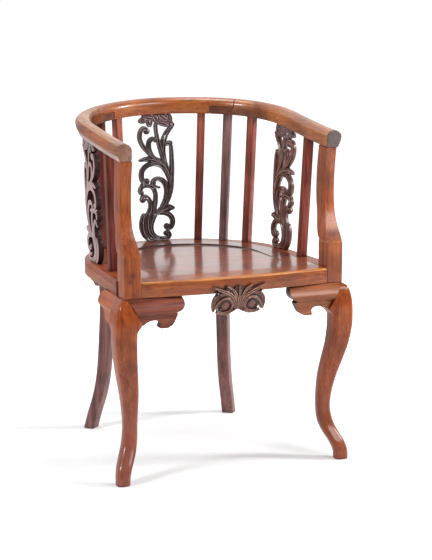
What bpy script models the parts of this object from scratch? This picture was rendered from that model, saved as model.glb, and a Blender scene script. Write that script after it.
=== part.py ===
"""A tub armchair of polished hardwood with a horseshoe rail, modelled piece by piece.

Working frame: metres, Z up from the floor, Y towards the chair's back, X to the right as seen from
the front. The working origin is below the centre of the seat's round back, and the chair hangs on
an empty that puts the middle of its footprint at the world's origin.
"""
import math

import bmesh
import bpy
from mathutils import Matrix, Vector

# Gap between touching pieces
FIT = 0.0003

# Seat frame and panel
SEAT_HEIGHT = 0.455
SEAT_THICK = 0.0355
SEAT_RADIUS = 0.2540
SIDE_FLARE = 0.0115
SEAT_FRONT = 0.2600
SEAT_EDGE_ROUND = 0.009
SEAT_EDGE_EASE = 0.002
RIM_WIDTH = 0.0335
RIM_JOINT_ANGLE = 31.5
RIM_TONGUE = (0.020, 0.030, 0.008)
LEDGE = 0.012
PANEL_THICK = 0.018
DISH_BORDER = 0.084
DISH_DEPTH = 0.004
DISH_FRONT_BORDER = 0.095
FRONT_BOW = 0.014
STUB_TENON = 0.0095
STUB_TENON_THICK = 0.016
FRONT_TENON_WIDTH = 0.023
RIM_TENON_WIDTH = 0.015
BRACE_WIDTH = 0.030
BRACE_POSITION = -0.100
BRACE_SHOULDER = 0.003

# Corner blocks and arm posts
BLOCK_STEP = 0.0027
BLOCK_WIDTH = 0.0383
BLOCK_DEPTH = 0.0465
BLOCK_RISE = 0.059
POST_INSET = 0.0077
POST_WIDTH = 0.026
POST_DEPTH = 0.042
POST_HOLLOW = 0.037
POST_HOLLOW_RISE = 0.170
POST_CORNER = 0.004
POST_TENON = (0.013, 0.024, 0.016)

# Rail: half an ellipse with nearly straight arms, rising towards the back
RAIL_SIDE_INSET = 0.0020
RAIL_BACK_INSET = 0.0085
RAIL_CENTRE = -0.0005
RAIL_END_INSET = 0.0015
ARM_SETBACK = 0.0258
ARM_UNDERSIDE = 0.7225
BACK_RISE = 0.0460
RISE_BEFORE = 0.055
RISE_PAST = 0.004
RAIL_INNER = 0.0175
RAIL_OUTER = 0.0195
RAIL_HEIGHT = 0.039
RAIL_FOOT = 0.027
RAIL_FOOT_EASE = 0.0015
RAIL_SHOULDER_HEIGHT = 0.024
SCARF_INNER_ANGLE = 58.5
SCARF_OUTER_ANGLE = 43.5
SCARF_PIN = 0.005
SCARF_PIN_LENGTH = 0.026
SCARF_PIN_SINK = 0.0012

# Spindles and splats
HOUSING = 0.012
STICK_INSET = 0.006
SPINDLE = 0.019
STICK_SETBACK = 0.0196
FIRST_SPINDLE_ANGLE = 25.2
SPINDLE_STEP_ANGLE = 15.7
SPINDLES_PER_SIDE = 3
FAN_ANGLE = 1.3
SIDE_SPINDLE_BASE = -0.1048
SIDE_SPINDLE_TOP = -0.114
SIDE_SPLAT_BASE = 0.0125
SIDE_SPLAT_TOP = 0.0120
SIDE_SPLAT_TURN = 2.5
SPLAT_WIDTH = 0.092
SPLAT_HEAD_ROOM = 0.005
SPLAT_THICK = 0.015
SPLAT_TONGUE_THICK = 0.009
SPLAT_TOP_TONGUE = 0.060
SPLAT_FOOT_TONGUE = 0.034
SPLAT_TONGUE_ROOT = 0.012

# Legs
FRONT_LEG_TENON = (0.0115, 0.018, 0.034)
FRONT_LEG_CORNER = 0.007
SHOULDER_BACK = 0.014
MITRE_TOP = 0.0045
MITRE_FOOT = 0.038
MITRE_DROP = 0.0595
REAR_LEG_ANGLE = 49.4
REAR_LEG_CORNER = 0.003
REAR_LEG_TENON = (0.018, 0.016, 0.014)
REAR_TOP_DEPTH = 0.032
REAR_TOP_SETBACK = 0.0165
REAR_LEG_WIDTH = 0.030
LEG_DESIGN_HEIGHT = 0.4195

# Cabriole leg from the floor to the knee: height, the middle's place out from the block's outer side
# and back from its front, and the size of its square section
FRONT_LEG_STATIONS = (
    (0.000, 0.0058, 0.0078, 0.0305), (0.020, 0.0049, 0.0090, 0.0315), (0.040, -0.0011, 0.0161, 0.0335),
    (0.060, -0.0108, 0.0275, 0.0345), (0.080, -0.0186, 0.0371, 0.0335), (0.100, -0.0227, 0.0420, 0.0325),
    (0.125, -0.0243, 0.0439, 0.0315), (0.160, -0.0232, 0.0410, 0.0345), (0.200, -0.0190, 0.0335, 0.0395),
    (0.240, -0.0117, 0.0234, 0.0440), (0.280, -0.0048, 0.0135, 0.0470), (0.320, -0.0011, 0.0083, 0.0495),
    (0.345, -0.0011, 0.0070, 0.0500),
)

# Sabre leg from the floor up: height, the middle's place out from the seat's edge, and the depth
REAR_LEG_STATIONS = (
    (0.000, 0.0311, 0.0270), (0.040, 0.0194, 0.0270), (0.080, 0.0058, 0.0275), (0.120, -0.0042, 0.0280),
    (0.160, -0.0099, 0.0280), (0.200, -0.0134, 0.0285), (0.250, -0.0170, 0.0290), (0.300, -0.0194, 0.0290),
    (0.345, -0.0200, 0.0300), (0.375, -0.0195, 0.0310), (0.400, -0.0180, 0.0320),
)

# Brackets, measured from the corner of the block: along the seat, and down from its underside
BRACKET_LENGTH = 0.135
BAND_HEIGHT = 0.035
BAND_SWELL = 0.0175
BRACKET_FACE = 0.008
HOOK_DROP = 0.0685
BRACKET_DOWEL = (0.003, 0.026)
BRACKET_DOWEL_PLACE = 0.085
REAR_EAR_LENGTH = 0.040
REAR_EAR_DROP = 0.052
REAR_EAR_SETBACK = 0.020

# Carved drop on the front rail
APRON_THICK = 0.009
APRON_TUCK = 0.016
APRON_HALF_WIDTH = 0.0625
APRON_DROP = 0.050
APRON_RISE = 0.0175
APRON_LEAN = 0.014
APRON_DOWEL = (0.003, 0.020)
APRON_DOWEL_SPREAD = 0.026

# Facets
RAIL_STEP_ANGLE = 6.0
RIM_STEP_ANGLE = 7.5
ROUND_SEGMENTS = 14

# Values that follow from the sizes above
LEG_TOP = SEAT_HEIGHT - SEAT_THICK
SEAT_SIDE = SEAT_RADIUS + SIDE_FLARE
DISH_RADIUS = SEAT_RADIUS - DISH_BORDER
DISH_RUN_OUT = SEAT_FRONT - DISH_FRONT_BORDER
BACK_CIRCLE = SEAT_RADIUS - STICK_SETBACK
LEDGE_HEIGHT = SEAT_HEIGHT - PANEL_THICK
BLOCK_FRONT = -SEAT_FRONT
BLOCK_BACK = BLOCK_FRONT + BLOCK_DEPTH
BLOCK_OUTER = SEAT_SIDE - BLOCK_STEP
BLOCK_INNER = BLOCK_OUTER - BLOCK_WIDTH
BLOCK_TOP = SEAT_HEIGHT + BLOCK_RISE
POST_INNER = BLOCK_INNER + POST_INSET
POST_HOLLOW_HEIGHT = SEAT_HEIGHT + POST_HOLLOW_RISE
RIM_INNER = SEAT_RADIUS - RIM_WIDTH
LEDGE_INNER = RIM_INNER - LEDGE
SEAT_MIDDLE = (SEAT_HEIGHT + LEG_TOP) / 2
RAIL_HALF_WIDTH = SEAT_RADIUS - RAIL_SIDE_INSET
RAIL_BACK = SEAT_RADIUS - RAIL_BACK_INSET
RAIL_END_HALF_WIDTH = RAIL_HALF_WIDTH - RAIL_END_INSET
ARM_REACH = SEAT_FRONT - ARM_SETBACK
RISE_START = -SEAT_FRONT - RISE_BEFORE
RISE_END = RAIL_BACK + RISE_PAST
RAIL_ARM_ANGLE = -math.degrees((RAIL_CENTRE + ARM_REACH) / RAIL_BACK)
RIM_END_ANGLE = math.degrees((BLOCK_BACK + FIT) / SEAT_RADIUS)
RIM_GAP_ANGLE = math.degrees(FIT / RIM_INNER)
APRON_BACK = BLOCK_FRONT - FRONT_BOW - FIT
APRON_FRONT = APRON_BACK - APRON_THICK
CHAIR_BACK = RAIL_CENTRE + RAIL_BACK + RAIL_OUTER
FOOTPRINT_MIDDLE = (APRON_FRONT + CHAIR_BACK) / 2

# Wood colours, as sRGB, and how polished each is
HONEY = ("#B5622C", 0.28)
CHESTNUT = ("#9C4A26", 0.30)
RUSSET = ("#8A3F26", 0.32)
UMBER = ("#5E3228", 0.38)
DARK = ("#3E2526", 0.40)

# Each side of the chair: the sign of X and the word in the pieces' names
SIDES = ((1.0, "right"), (-1.0, "left"))

# Drawing of the splat's scrolls, across from its middle and up from its foot. Each stroke is a smooth
# curve through its points, with a width at its start and at its end. The drawing is fitted to the
# splat's own width and height.
SPLAT_STROKES = (
    # foot: the broad leaf on the left, its turned-up end and the ring that it carries
    (((-27, 67), (-31, 48), (-27, 29), (-17, 13), (0, 4), (18, 1), (31, 4)), 29, 10),
    (((30, 2), (29, 11), (25, 17)), 12, 10),
    (((-22, 63), (-9, 64), (8, 63), (25, 62), (37, 53), (41, 41), (35, 31), (25, 33)), 13, 11),
    # main stem, sweeping up the right side, with a small leaf at its foot
    (((-4, 67), (14, 81), (26, 98), (34, 119), (38, 140), (38, 154)), 10, 16),
    (((38, 137), (39, 161), (39, 190), (39, 214), (38, 240)), 16, 10),
    (((14, 69), (30, 75), (47, 80)), 16, 4),
    # long leaf on the left and the large scroll under it
    (((-45, 200), (-24, 200), (-4, 196), (11, 187), (24, 171), (32, 151)), 4, 16),
    (((18, 180), (0, 188), (-20, 187), (-34, 179), (-40, 167), (-40, 155), (-33, 146), (-23, 146)), 11, 10),
    # the small scroll inside it and the two scrolls on the lower left
    (((30, 102), (32, 121), (27, 139), (15, 151), (1, 154), (-8, 147), (-9, 138), (0, 133), (8, 130)),
     10, 4),
    (((-39, 121), (-43, 130), (-39, 137), (-28, 137), (-15, 132), (-7, 119), (-4, 98), (-6, 66)), 9, 11),
    (((-42, 106), (-34, 107), (-26, 102), (-20, 92), (-18, 79), (-19, 63)), 12, 14),
    # stems that fan out to the flower
    (((14, 189), (-6, 205), (-24, 223), (-38, 241), (-44, 259), (-43, 274), (-34, 281), (-25, 277),
      (-22, 267)), 10, 9),
    (((-9, 206), (-20, 225), (-20, 241), (-13, 250), (-1, 249), (3, 244)), 10, 10),
    (((-1, 294), (-2, 271), (3, 250), (11, 225), (20, 201), (30, 174)), 9, 11),
    (((42, 280), (32, 266), (24, 249), (18, 230), (17, 210), (23, 188)), 12, 10),
    (((21, 239), (33, 239), (45, 240)), 10, 11),
    # flower head
    (((-44, 296), (-29, 296), (-14, 290)), 13, 19),
    (((-32, 308), (-12, 303), (9, 300), (29, 304)), 19, 19),
    (((7, 294), (26, 286), (45, 280)), 17, 8),
    (((21, 306), (31, 297), (38, 285)), 15, 10),
)
STROKE_STEPS = 3
DRAWING_ACROSS = [u for points, first_width, last_width in SPLAT_STROKES for u, v in points]
DRAWING_UP = [v for points, first_width, last_width in SPLAT_STROKES for u, v in points]
DRAWING_SCALE = SPLAT_WIDTH / (max(DRAWING_ACROSS) - min(DRAWING_ACROSS))


def linear_colour(code):
    """Turns an sRGB hex code into the linear colour that a shader takes."""
    channels = [int(code[i:i + 2], 16) / 255 for i in (1, 3, 5)]
    return [c / 12.92 if c <= 0.04045 else ((c + 0.055) / 1.055) ** 2.4 for c in channels] + [1.0]


def make_wood(name, finish):
    """A material of its own for one piece."""
    code, roughness = finish
    wood = bpy.data.materials.new(name + "_wood")
    wood.use_nodes = True
    shader = wood.node_tree.nodes["Principled BSDF"]
    shader.inputs["Base Color"].default_value = linear_colour(code)
    shader.inputs["Roughness"].default_value = roughness
    shader.inputs["Metallic"].default_value = 0.0
    return wood


# Solids

def skin(rings):
    """A closed body drawn over rings of points, which all have the same count."""
    bm = bmesh.new()
    loops = []
    for ring in rings:
        corners = [bm.verts.new(point) for point in ring]
        loops.append([bm.edges.new((corners[i - 1], corners[i])) for i in range(len(corners))])
    for lower, upper in zip(loops, loops[1:]):
        bmesh.ops.bridge_loops(bm, edges=lower + upper)
    bmesh.ops.edgeloop_fill(bm, edges=loops[0])
    bmesh.ops.edgeloop_fill(bm, edges=loops[-1])
    return bm


def prism(outline, push):
    """The body that a flat outline leaves when it is pushed along a vector."""
    bm = bmesh.new()
    face = bm.faces.new([bm.verts.new(point) for point in outline])
    grown = bmesh.ops.extrude_face_region(bm, geom=[face])
    moved = [item for item in grown["geom"] if isinstance(item, bmesh.types.BMVert)]
    bmesh.ops.translate(bm, verts=moved, vec=push)
    return bm


def block(low, high):
    """A box between two corners."""
    low, high = Vector(low), Vector(high)
    bm = bmesh.new()
    bmesh.ops.create_cube(bm, size=1.0)
    bmesh.ops.scale(bm, vec=high - low, verts=bm.verts)
    bmesh.ops.translate(bm, vec=(low + high) / 2, verts=bm.verts)
    return bm


def grown_block(low, high, by):
    """A box between two corners, larger by a clearance on every side."""
    gap = Vector((by, by, by))
    return block(Vector(low) - gap, Vector(high) + gap)


def dowel(start, end, radius):
    """A round pin between two points."""
    start, end = Vector(start), Vector(end)
    axis = end - start
    turn = axis.to_track_quat("Z", "Y").to_matrix().to_4x4()
    bm = bmesh.new()
    bmesh.ops.create_cone(bm, cap_ends=True, segments=ROUND_SEGMENTS, radius1=radius, radius2=radius,
                          depth=axis.length, matrix=Matrix.Translation((start + end) / 2) @ turn)
    return bm


def mirrored(bm, sign):
    """The same body on the side of the chair that the sign of X gives."""
    bmesh.ops.scale(bm, vec=(sign, 1.0, 1.0), verts=bm.verts)
    return bm


def place(bm, matrix):
    """The same body carried from its own axes into the chair's."""
    bmesh.ops.transform(bm, matrix=matrix, verts=bm.verts)
    return bm


class Chair:
    """The empty that carries every piece, and the ways to add a piece or a cutter to it."""

    def __init__(self):
        self.frame = bpy.data.objects.new("armchair", None)
        self.frame.location = (0.0, -FOOTPRINT_MIDDLE, 0.0)
        bpy.context.scene.collection.objects.link(self.frame)

    def hang(self, name, bm, axes=None):
        """Makes a mesh object of a body and parents it to the chair, in axes of its own if it has any."""
        bmesh.ops.recalc_face_normals(bm, faces=bm.faces)
        mesh = bpy.data.meshes.new(name)
        bm.to_mesh(mesh)
        bm.free()
        item = bpy.data.objects.new(name, mesh)
        item.parent = self.frame
        if axes:
            item.matrix_local = axes
        bpy.context.scene.collection.objects.link(item)
        return item

    def piece(self, name, bm, finish, axes=None):
        """A real piece of the chair."""
        item = self.hang(name, bm, axes)
        item.data.materials.append(make_wood(name, finish))
        item.data.shade_smooth()
        item.data.set_sharp_from_angle(angle=math.radians(35.0))
        return item

    def tool(self, name, bm, axes=None):
        """A hidden body that only shapes a piece."""
        item = self.hang(name, bm, axes)
        item.hide_render = True
        item.display_type = "WIRE"
        return item

    def shape(self, item, operation, tools):
        """Cuts a piece with tools, joins them to it, or keeps what they share."""
        group = bpy.data.collections.new(item.name + "_" + operation.lower())
        for tool in tools:
            group.objects.link(tool)
        modifier = item.modifiers.new(operation.lower(), "BOOLEAN")
        modifier.operation = operation
        modifier.operand_type = "COLLECTION"
        modifier.collection = group


# Curves and outlines

def smooth_curve(points, steps):
    """Points on a smooth curve through the given ones, as many steps to each stretch."""
    points = [Vector(p) for p in points]
    ends = [2 * points[0] - points[1]] + points + [2 * points[-1] - points[-2]]
    curve = []
    for before, start, end, after in zip(ends, ends[1:], ends[2:], ends[3:]):
        for i in range(steps):
            t = i / steps
            bend = (2 * before - 5 * start + 4 * end - after) * t * t
            bend += (3 * start - before - 3 * end + after) * t * t * t
            curve.append(start + ((end - before) * t + bend) / 2)
    curve.append(points[-1])
    return curve


def ease(value):
    """A smooth step from 0 to 1."""
    value = min(max(value, 0.0), 1.0)
    return value * value * (3 - 2 * value)


def rounded_rectangle(low, high, radius):
    """Corners of a rectangle in X and Y, each rounded with three points."""
    corner = []
    left, right = low[0] + radius, high[0] - radius
    front, back = low[1] + radius, high[1] - radius
    for cx, cy, start in ((right, back, 0), (left, back, 90), (left, front, 180), (right, front, 270)):
        for turn in (start, start + 45, start + 90):
            angle = math.radians(turn)
            corner.append((cx + radius * math.cos(angle), cy + radius * math.sin(angle)))
    return corner


def level(points, height):
    """Points of a plan outline at one height."""
    return [Vector((x, y, height)) for x, y in points]


def angles_between(first, last, step):
    """Evenly spread angles from first to last, no further apart than step."""
    count = max(1, math.ceil(abs(last - first) / step))
    return [first + (last - first) * i / count for i in range(count + 1)]


# Rail

def rail_plan(turn):
    """Plan point of the rail's centre line; past 0 and 180 degrees it runs along the arms."""
    right_turn = min(turn, 180.0 - turn)
    sign = 1.0 if turn <= 90.0 else -1.0
    angle = math.radians(right_turn)
    if right_turn >= 0.0:
        return Vector((sign * RAIL_HALF_WIDTH * math.cos(angle), RAIL_CENTRE + RAIL_BACK * math.sin(angle)))
    narrowing = (RAIL_END_HALF_WIDTH - RAIL_HALF_WIDTH) * right_turn / RAIL_ARM_ANGLE
    return Vector((sign * (RAIL_HALF_WIDTH + narrowing), RAIL_CENTRE + RAIL_BACK * angle))


def rail_outward(turn):
    """Direction in plan that points out of the chair, square to the rail."""
    along = rail_plan(turn + 0.5) - rail_plan(turn - 0.5)
    return Vector((along.y, -along.x)).normalized()


def rail_underside(y):
    """Height of the rail's underside, which rises towards the back."""
    return ARM_UNDERSIDE + BACK_RISE * ease((y - RISE_START) / (RISE_END - RISE_START))


def rail_turn_at(y):
    """The angle at which the right half of the rail passes a place in Y."""
    share = (y - RAIL_CENTRE) / RAIL_BACK
    return math.degrees(math.asin(share)) if share >= 0.0 else math.degrees(share)


def rail_ring(turn, profile):
    """A cross-section of the rail, from points across it and above its underside."""
    centre, outward = rail_plan(turn), rail_outward(turn)
    base = rail_underside(centre.y)
    return [Vector((*(centre + outward * across), base + height)) for across, height in profile]


def rail_profile():
    """Section of the rail: flat inner face, round top, full outer side that falls in to the foot."""
    middle = (RAIL_OUTER - RAIL_INNER) / 2
    half = (RAIL_OUTER + RAIL_INNER) / 2
    crown = RAIL_HEIGHT - RAIL_SHOULDER_HEIGHT
    foot = RAIL_FOOT_EASE - RAIL_INNER
    points = [(foot, 0.0), (-RAIL_INNER, RAIL_SHOULDER_HEIGHT / 4)]
    for turn in (180, 150, 120, 90, 60, 30, 0):
        angle = math.radians(turn)
        points.append((middle + half * math.cos(angle), RAIL_SHOULDER_HEIGHT + crown * math.sin(angle)))
    points.append((RAIL_OUTER - (RAIL_OUTER - foot - RAIL_FOOT) / 4, RAIL_SHOULDER_HEIGHT * 0.6))
    points.append((foot + RAIL_FOOT, 0.0))
    return points


def rail_body(first, last, profile):
    """The rail between two angles."""
    return skin([rail_ring(turn, profile) for turn in angles_between(first, last, RAIL_STEP_ANGLE)])


def lap_cutter(first, last, low, high):
    """A slab round part of the rail, between two heights above its underside."""
    side = RAIL_INNER + RAIL_OUTER
    return rail_body(first, last, [(-side, low), (-side, high), (side, high), (side, low)])


def build_rail(chair, sticks):
    """Crest and two arms, half-lapped together, pinned, and mortised for what stands under them."""
    profile = rail_profile()
    lap = RAIL_HEIGHT / 2
    gap = math.degrees(FIT / RAIL_BACK)
    spare = SCARF_INNER_ANGLE - SCARF_OUTER_ANGLE
    over = RAIL_HEIGHT
    body = rail_body(SCARF_OUTER_ANGLE, 180.0 - SCARF_OUTER_ANGLE, profile)
    crest = chair.piece("rail_crest", body, HONEY)
    crest_cuts = list(sticks)
    for sign, side in SIDES:
        pin = scarf_pin(sign, 0.0)
        chair.piece("scarf_pin_" + side, pin, UMBER)
        hole = chair.tool("scarf_pin_hole_" + side, scarf_pin(sign, FIT))
        turns = (SCARF_OUTER_ANGLE - spare, SCARF_INNER_ANGLE)
        below = chair.tool("crest_lap_" + side, mirrored(lap_cutter(*turns, -over, lap), sign))
        crest_cuts += [below, hole]
        body = rail_body(RAIL_ARM_ANGLE, SCARF_INNER_ANGLE - gap, profile)
        arm = chair.piece("rail_arm_" + side, mirrored(body, sign), HONEY)
        turns = (SCARF_OUTER_ANGLE - gap, SCARF_INNER_ANGLE + spare)
        above = chair.tool("arm_lap_" + side, mirrored(lap_cutter(*turns, lap - FIT, 2 * over), sign))
        socket = chair.tool("post_socket_" + side, mirrored(post_tenon(FIT), sign))
        chair.shape(arm, "DIFFERENCE", [above, hole, socket] + list(sticks))
    chair.shape(crest, "DIFFERENCE", crest_cuts)


def scarf_pin(sign, clearance):
    """Square pin that locks a scarf, driven in from the rail's inner face."""
    turn = SCARF_INNER_ANGLE - 2 * math.degrees(SCARF_PIN / RAIL_BACK)
    centre, outward = rail_plan(turn), rail_outward(turn)
    along = Vector((-outward.y, outward.x))
    half = SCARF_PIN / 2 + clearance
    middle = rail_underside(centre.y) + RAIL_HEIGHT / 2
    mouth = -RAIL_INNER - SCARF_PIN if clearance else SCARF_PIN_SINK - RAIL_INNER
    start = centre + outward * mouth
    corners = ((-half, -half), (half, -half), (half, half), (-half, half))
    outline = [Vector((*(start + along * a), middle + b)) for a, b in corners]
    length = SCARF_PIN_SINK + SCARF_PIN_LENGTH - RAIL_INNER + clearance - mouth
    return mirrored(prism(outline, Vector((*(outward * length), 0.0))), sign)


# Spindles and splats

def stick(foot, head, facing, size, past):
    """A square bar from foot to head and a little past both, one face turned to a plan direction."""
    axis = (head - foot).normalized()
    outward = Vector((*facing, 0.0))
    outward = (outward - axis * outward.dot(axis)).normalized()
    across = axis.cross(outward)
    half = size / 2
    corners = [(across * a + outward * b) * half for a, b in ((-1, -1), (1, -1), (1, 1), (-1, 1))]
    return skin([[end + corner for corner in corners] for end in (foot - axis * past, head + axis * past)])


def rail_foot_point(turn):
    """Where a stick meets the rail's underside at an angle, a little inside its centre line."""
    centre = rail_plan(turn)
    return Vector((*(centre - rail_outward(turn) * STICK_INSET), rail_underside(centre.y)))


def spindle_places():
    """Name, foot, head and facing of each spindle on the right-hand side."""
    places = []
    for number in range(SPINDLES_PER_SIDE):
        from_middle = FIRST_SPINDLE_ANGLE + SPINDLE_STEP_ANGLE * number
        angle = math.radians(90.0 - from_middle)
        facing = Vector((math.cos(angle), math.sin(angle)))
        foot = Vector((*(facing * BACK_CIRCLE), SEAT_HEIGHT))
        head = rail_foot_point(90.0 - from_middle - FAN_ANGLE)
        places.append(("spindle_back_{}_" + str(number + 1), foot, head, facing))
    foot = Vector((BACK_CIRCLE, SIDE_SPINDLE_BASE, SEAT_HEIGHT))
    head = rail_foot_point(rail_turn_at(SIDE_SPINDLE_TOP))
    places.append(("spindle_side_{}", foot, head, Vector((1.0, 0.0))))
    return places


def build_spindles(chair):
    """Square spindles let into the seat and the rail; returns the cutters of their housings."""
    cutters = []
    for sign, side in SIDES:
        for pattern, foot, head, facing in spindle_places():
            name = pattern.format(side)
            chair.piece(name, mirrored(stick(foot, head, facing, SPINDLE, HOUSING), sign), RUSSET)
            hole = stick(foot, head, facing, SPINDLE + 2 * FIT, HOUSING + FIT)
            cutters.append(chair.tool(name + "_housing", mirrored(hole, sign)))
    return cutters


def stroke_outline(points, first_width, last_width):
    """Outline of a stroke along a smooth curve, in the drawing's own units."""
    path = smooth_curve(points, STROKE_STEPS)
    left, right = [], []
    for i, point in enumerate(path):
        along = (path[min(i + 1, len(path) - 1)] - path[max(i - 1, 0)]).normalized()
        share = i / (len(path) - 1)
        half = (first_width + (last_width - first_width) * share) / 2
        side = Vector((-along.y, along.x)) * half
        left.append(point + side)
        right.append(point - side)
    return left + right[::-1]


def splat_places():
    """Name, foot, head and the direction across each splat, and how much the rail above it rakes."""
    back_foot = Vector((0.0, BACK_CIRCLE, SEAT_HEIGHT))
    places = [("splat_back", back_foot, rail_foot_point(90.0), Vector((1.0, 0.0, 0.0)), 0.0)]
    head = rail_foot_point(rail_turn_at(SIDE_SPLAT_TOP))
    span = SPLAT_TOP_TONGUE
    climb = rail_underside(head.y + span / 2) - rail_underside(head.y - span / 2)
    rake = climb / span / (head.z - SEAT_HEIGHT)
    turn = math.radians(SIDE_SPLAT_TURN)
    for sign, side in SIDES:
        foot = Vector((sign * BACK_CIRCLE, SIDE_SPLAT_BASE, SEAT_HEIGHT))
        top = Vector((sign * head.x, head.y, head.z))
        across = Vector((-sign * math.sin(turn), math.cos(turn), 0.0))
        places.append(("splat_" + side, foot, top, across, rake))
    return places


class SplatFrame:
    """Where a splat stands: rigid axes across it, through it and up it, and how its design is fitted."""

    def __init__(self, foot, head, across, rake):
        line = head - foot
        upright = line - across * line.dot(across)
        self.length = upright.length
        self.lean = line.dot(across) / self.length
        self.rake = rake
        up = upright.normalized()
        axes = Matrix((across, up.cross(across), up)).transposed().to_4x4()
        self.matrix = Matrix.Translation(foot) @ axes

    def slab(self, outline, thick):
        """A flat piece of the splat in its own axes, taller where the rail above it is higher."""
        points = []
        for u, v in outline:
            rise = v * (1.0 + self.rake * u)
            points.append(Vector((u + self.lean * rise, -thick / 2, rise)))
        return prism(points, Vector((0.0, thick, 0.0)))

    def tongue(self, width, low, high, clearance):
        """A flat tongue at the foot or the top of the splat."""
        half = width / 2 + clearance
        low, high = low - clearance, high + clearance
        outline = [(-half, low), (half, low), (half, high), (-half, high)]
        return self.slab(outline, SPLAT_TONGUE_THICK + 2 * clearance)


def build_splats(chair, rail_room):
    """Pierced scroll splats, each cut from one board; returns the cutters of their mortises."""
    cutters = []
    wide = 2 * SEAT_RADIUS
    seat_room = chair.tool("seat_room", block((-wide, -wide, 0.0), (wide, wide, SEAT_HEIGHT + FIT)))
    for name, foot, head, across, rake in splat_places():
        frame = SplatFrame(foot, head, across, rake)
        bodies = []
        rise = (frame.length - SPLAT_HEAD_ROOM) / max(DRAWING_UP)
        for stroke in SPLAT_STROKES:
            outline = [(u * DRAWING_SCALE, v * rise) for u, v in stroke_outline(*stroke)]
            bodies.append(frame.slab(outline, SPLAT_THICK))
        splat = chair.piece(name, bodies[0], DARK, frame.matrix)
        strokes = [chair.tool("{}_stroke_{}".format(name, i), body, frame.matrix)
                   for i, body in enumerate(bodies[1:], 2)]
        chair.shape(splat, "UNION", strokes)
        chair.shape(splat, "DIFFERENCE", [rail_room, seat_room])
        tongues = []
        top = frame.length
        for word, width, low, high in (("foot", SPLAT_FOOT_TONGUE, -HOUSING, SPLAT_TONGUE_ROOT / 2),
                                       ("top", SPLAT_TOP_TONGUE, top - SPLAT_TONGUE_ROOT, top + HOUSING)):
            body = frame.tongue(width, low, high, 0.0)
            tongues.append(chair.tool("{}_{}_tongue".format(name, word), body, frame.matrix))
            hole = frame.tongue(width, low, high, FIT)
            cutters.append(chair.tool("{}_{}_mortise".format(name, word), hole, frame.matrix))
        chair.shape(splat, "UNION", tongues)
    return cutters


# Arm posts

def post_face(height):
    """Where the post's front face stands in Y: it sweeps back over the block and bows to the rail's end."""
    sweep = (height - BLOCK_TOP) / (POST_HOLLOW_HEIGHT - BLOCK_TOP)
    if sweep <= 1.0:
        return BLOCK_FRONT + POST_HOLLOW * (1.0 - (1.0 - max(sweep, 0.0)) ** 2.2)
    bow = min((height - POST_HOLLOW_HEIGHT) / (rail_underside(-ARM_REACH) - POST_HOLLOW_HEIGHT), 1.0)
    return BLOCK_FRONT + POST_HOLLOW + (-ARM_REACH - BLOCK_FRONT - POST_HOLLOW) * bow * bow


def post_ring(height, radius):
    """A level section of the right-hand post."""
    slimming = ease((height - BLOCK_TOP) / (POST_HOLLOW_HEIGHT - BLOCK_TOP) * 1.6)
    inner = BLOCK_INNER + (POST_INNER - BLOCK_INNER) * slimming
    outer = BLOCK_OUTER + (POST_INNER + POST_WIDTH - BLOCK_OUTER) * slimming
    front = post_face(height)
    back = front + BLOCK_DEPTH + (POST_DEPTH - BLOCK_DEPTH) * slimming
    return level(rounded_rectangle((inner, front), (outer, back), radius), height)


def post_tenon(clearance):
    """Tenon on top of the right-hand post."""
    width, depth, rise = POST_TENON
    y = POST_DEPTH / 2 - ARM_REACH
    middle = Vector((POST_INNER + POST_WIDTH / 2, y, rail_underside(y)))
    half = Vector((width / 2, depth / 2, rise))
    return grown_block(middle - half, middle + half, clearance)


def build_posts(chair, rail_room):
    """Arm posts with their swept foot blocks, mortised for the seat frame and the legs."""
    hollow = POST_HOLLOW_HEIGHT - BLOCK_TOP
    bow = rail_underside(2 * POST_DEPTH - ARM_REACH) - POST_HOLLOW_HEIGHT
    heights = [BLOCK_TOP + hollow * share for share in (0.0, 0.15, 0.3, 0.45, 0.6, 0.8, 1.0)]
    heights += [POST_HOLLOW_HEIGHT + bow * share for share in (0.35, 0.7, 1.0)]
    for sign, side in SIDES:
        rings = [post_ring(LEG_TOP + FIT, SEAT_EDGE_EASE)]
        for i, height in enumerate(heights):
            rings.append(post_ring(height, POST_CORNER if i > 1 else SEAT_EDGE_EASE))
        post = chair.piece("arm_post_" + side, mirrored(skin(rings), sign), CHESTNUT)
        chair.shape(post, "DIFFERENCE", [rail_room])
        chair.shape(post, "UNION", [chair.tool("post_tenon_" + side, mirrored(post_tenon(0.0), sign))])
        sockets = (front_rail_tenon(FIT), rim_tenon(FIT), front_leg_tenon(FIT))
        mortises = [chair.tool("post_mortise_{}_{}".format(side, i), mirrored(body, sign))
                    for i, body in enumerate(sockets, 1)]
        chair.shape(post, "DIFFERENCE", mortises)


# Seat

def rim_ring(turn, profile):
    """A section of the seat rim; past 0 degrees it runs along the side and its outer edge flares."""
    angle = math.radians(turn)
    if 0.0 <= turn <= 180.0:
        outward = Vector((math.cos(angle), math.sin(angle)))
        return [Vector((*(outward * (SEAT_RADIUS + out)), height)) for out, height in profile]
    flare = (SEAT_SIDE - SEAT_RADIUS) * turn / RIM_END_ANGLE
    return [Vector((SEAT_RADIUS + out + (flare if out > -RIM_WIDTH else 0.0), SEAT_RADIUS * angle, height))
            for out, height in profile]


def rim_profile():
    """Section of the rim, out from its edge: rounded top edge outside, ledge for the panel inside."""
    return [(-SEAT_EDGE_EASE, LEG_TOP), (0.0, LEG_TOP + SEAT_EDGE_EASE)] + round_edge() + [
        (-RIM_WIDTH, SEAT_HEIGHT), (-RIM_WIDTH, LEDGE_HEIGHT),
        (-RIM_WIDTH - LEDGE, LEDGE_HEIGHT), (-RIM_WIDTH - LEDGE, LEG_TOP)]


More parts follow.
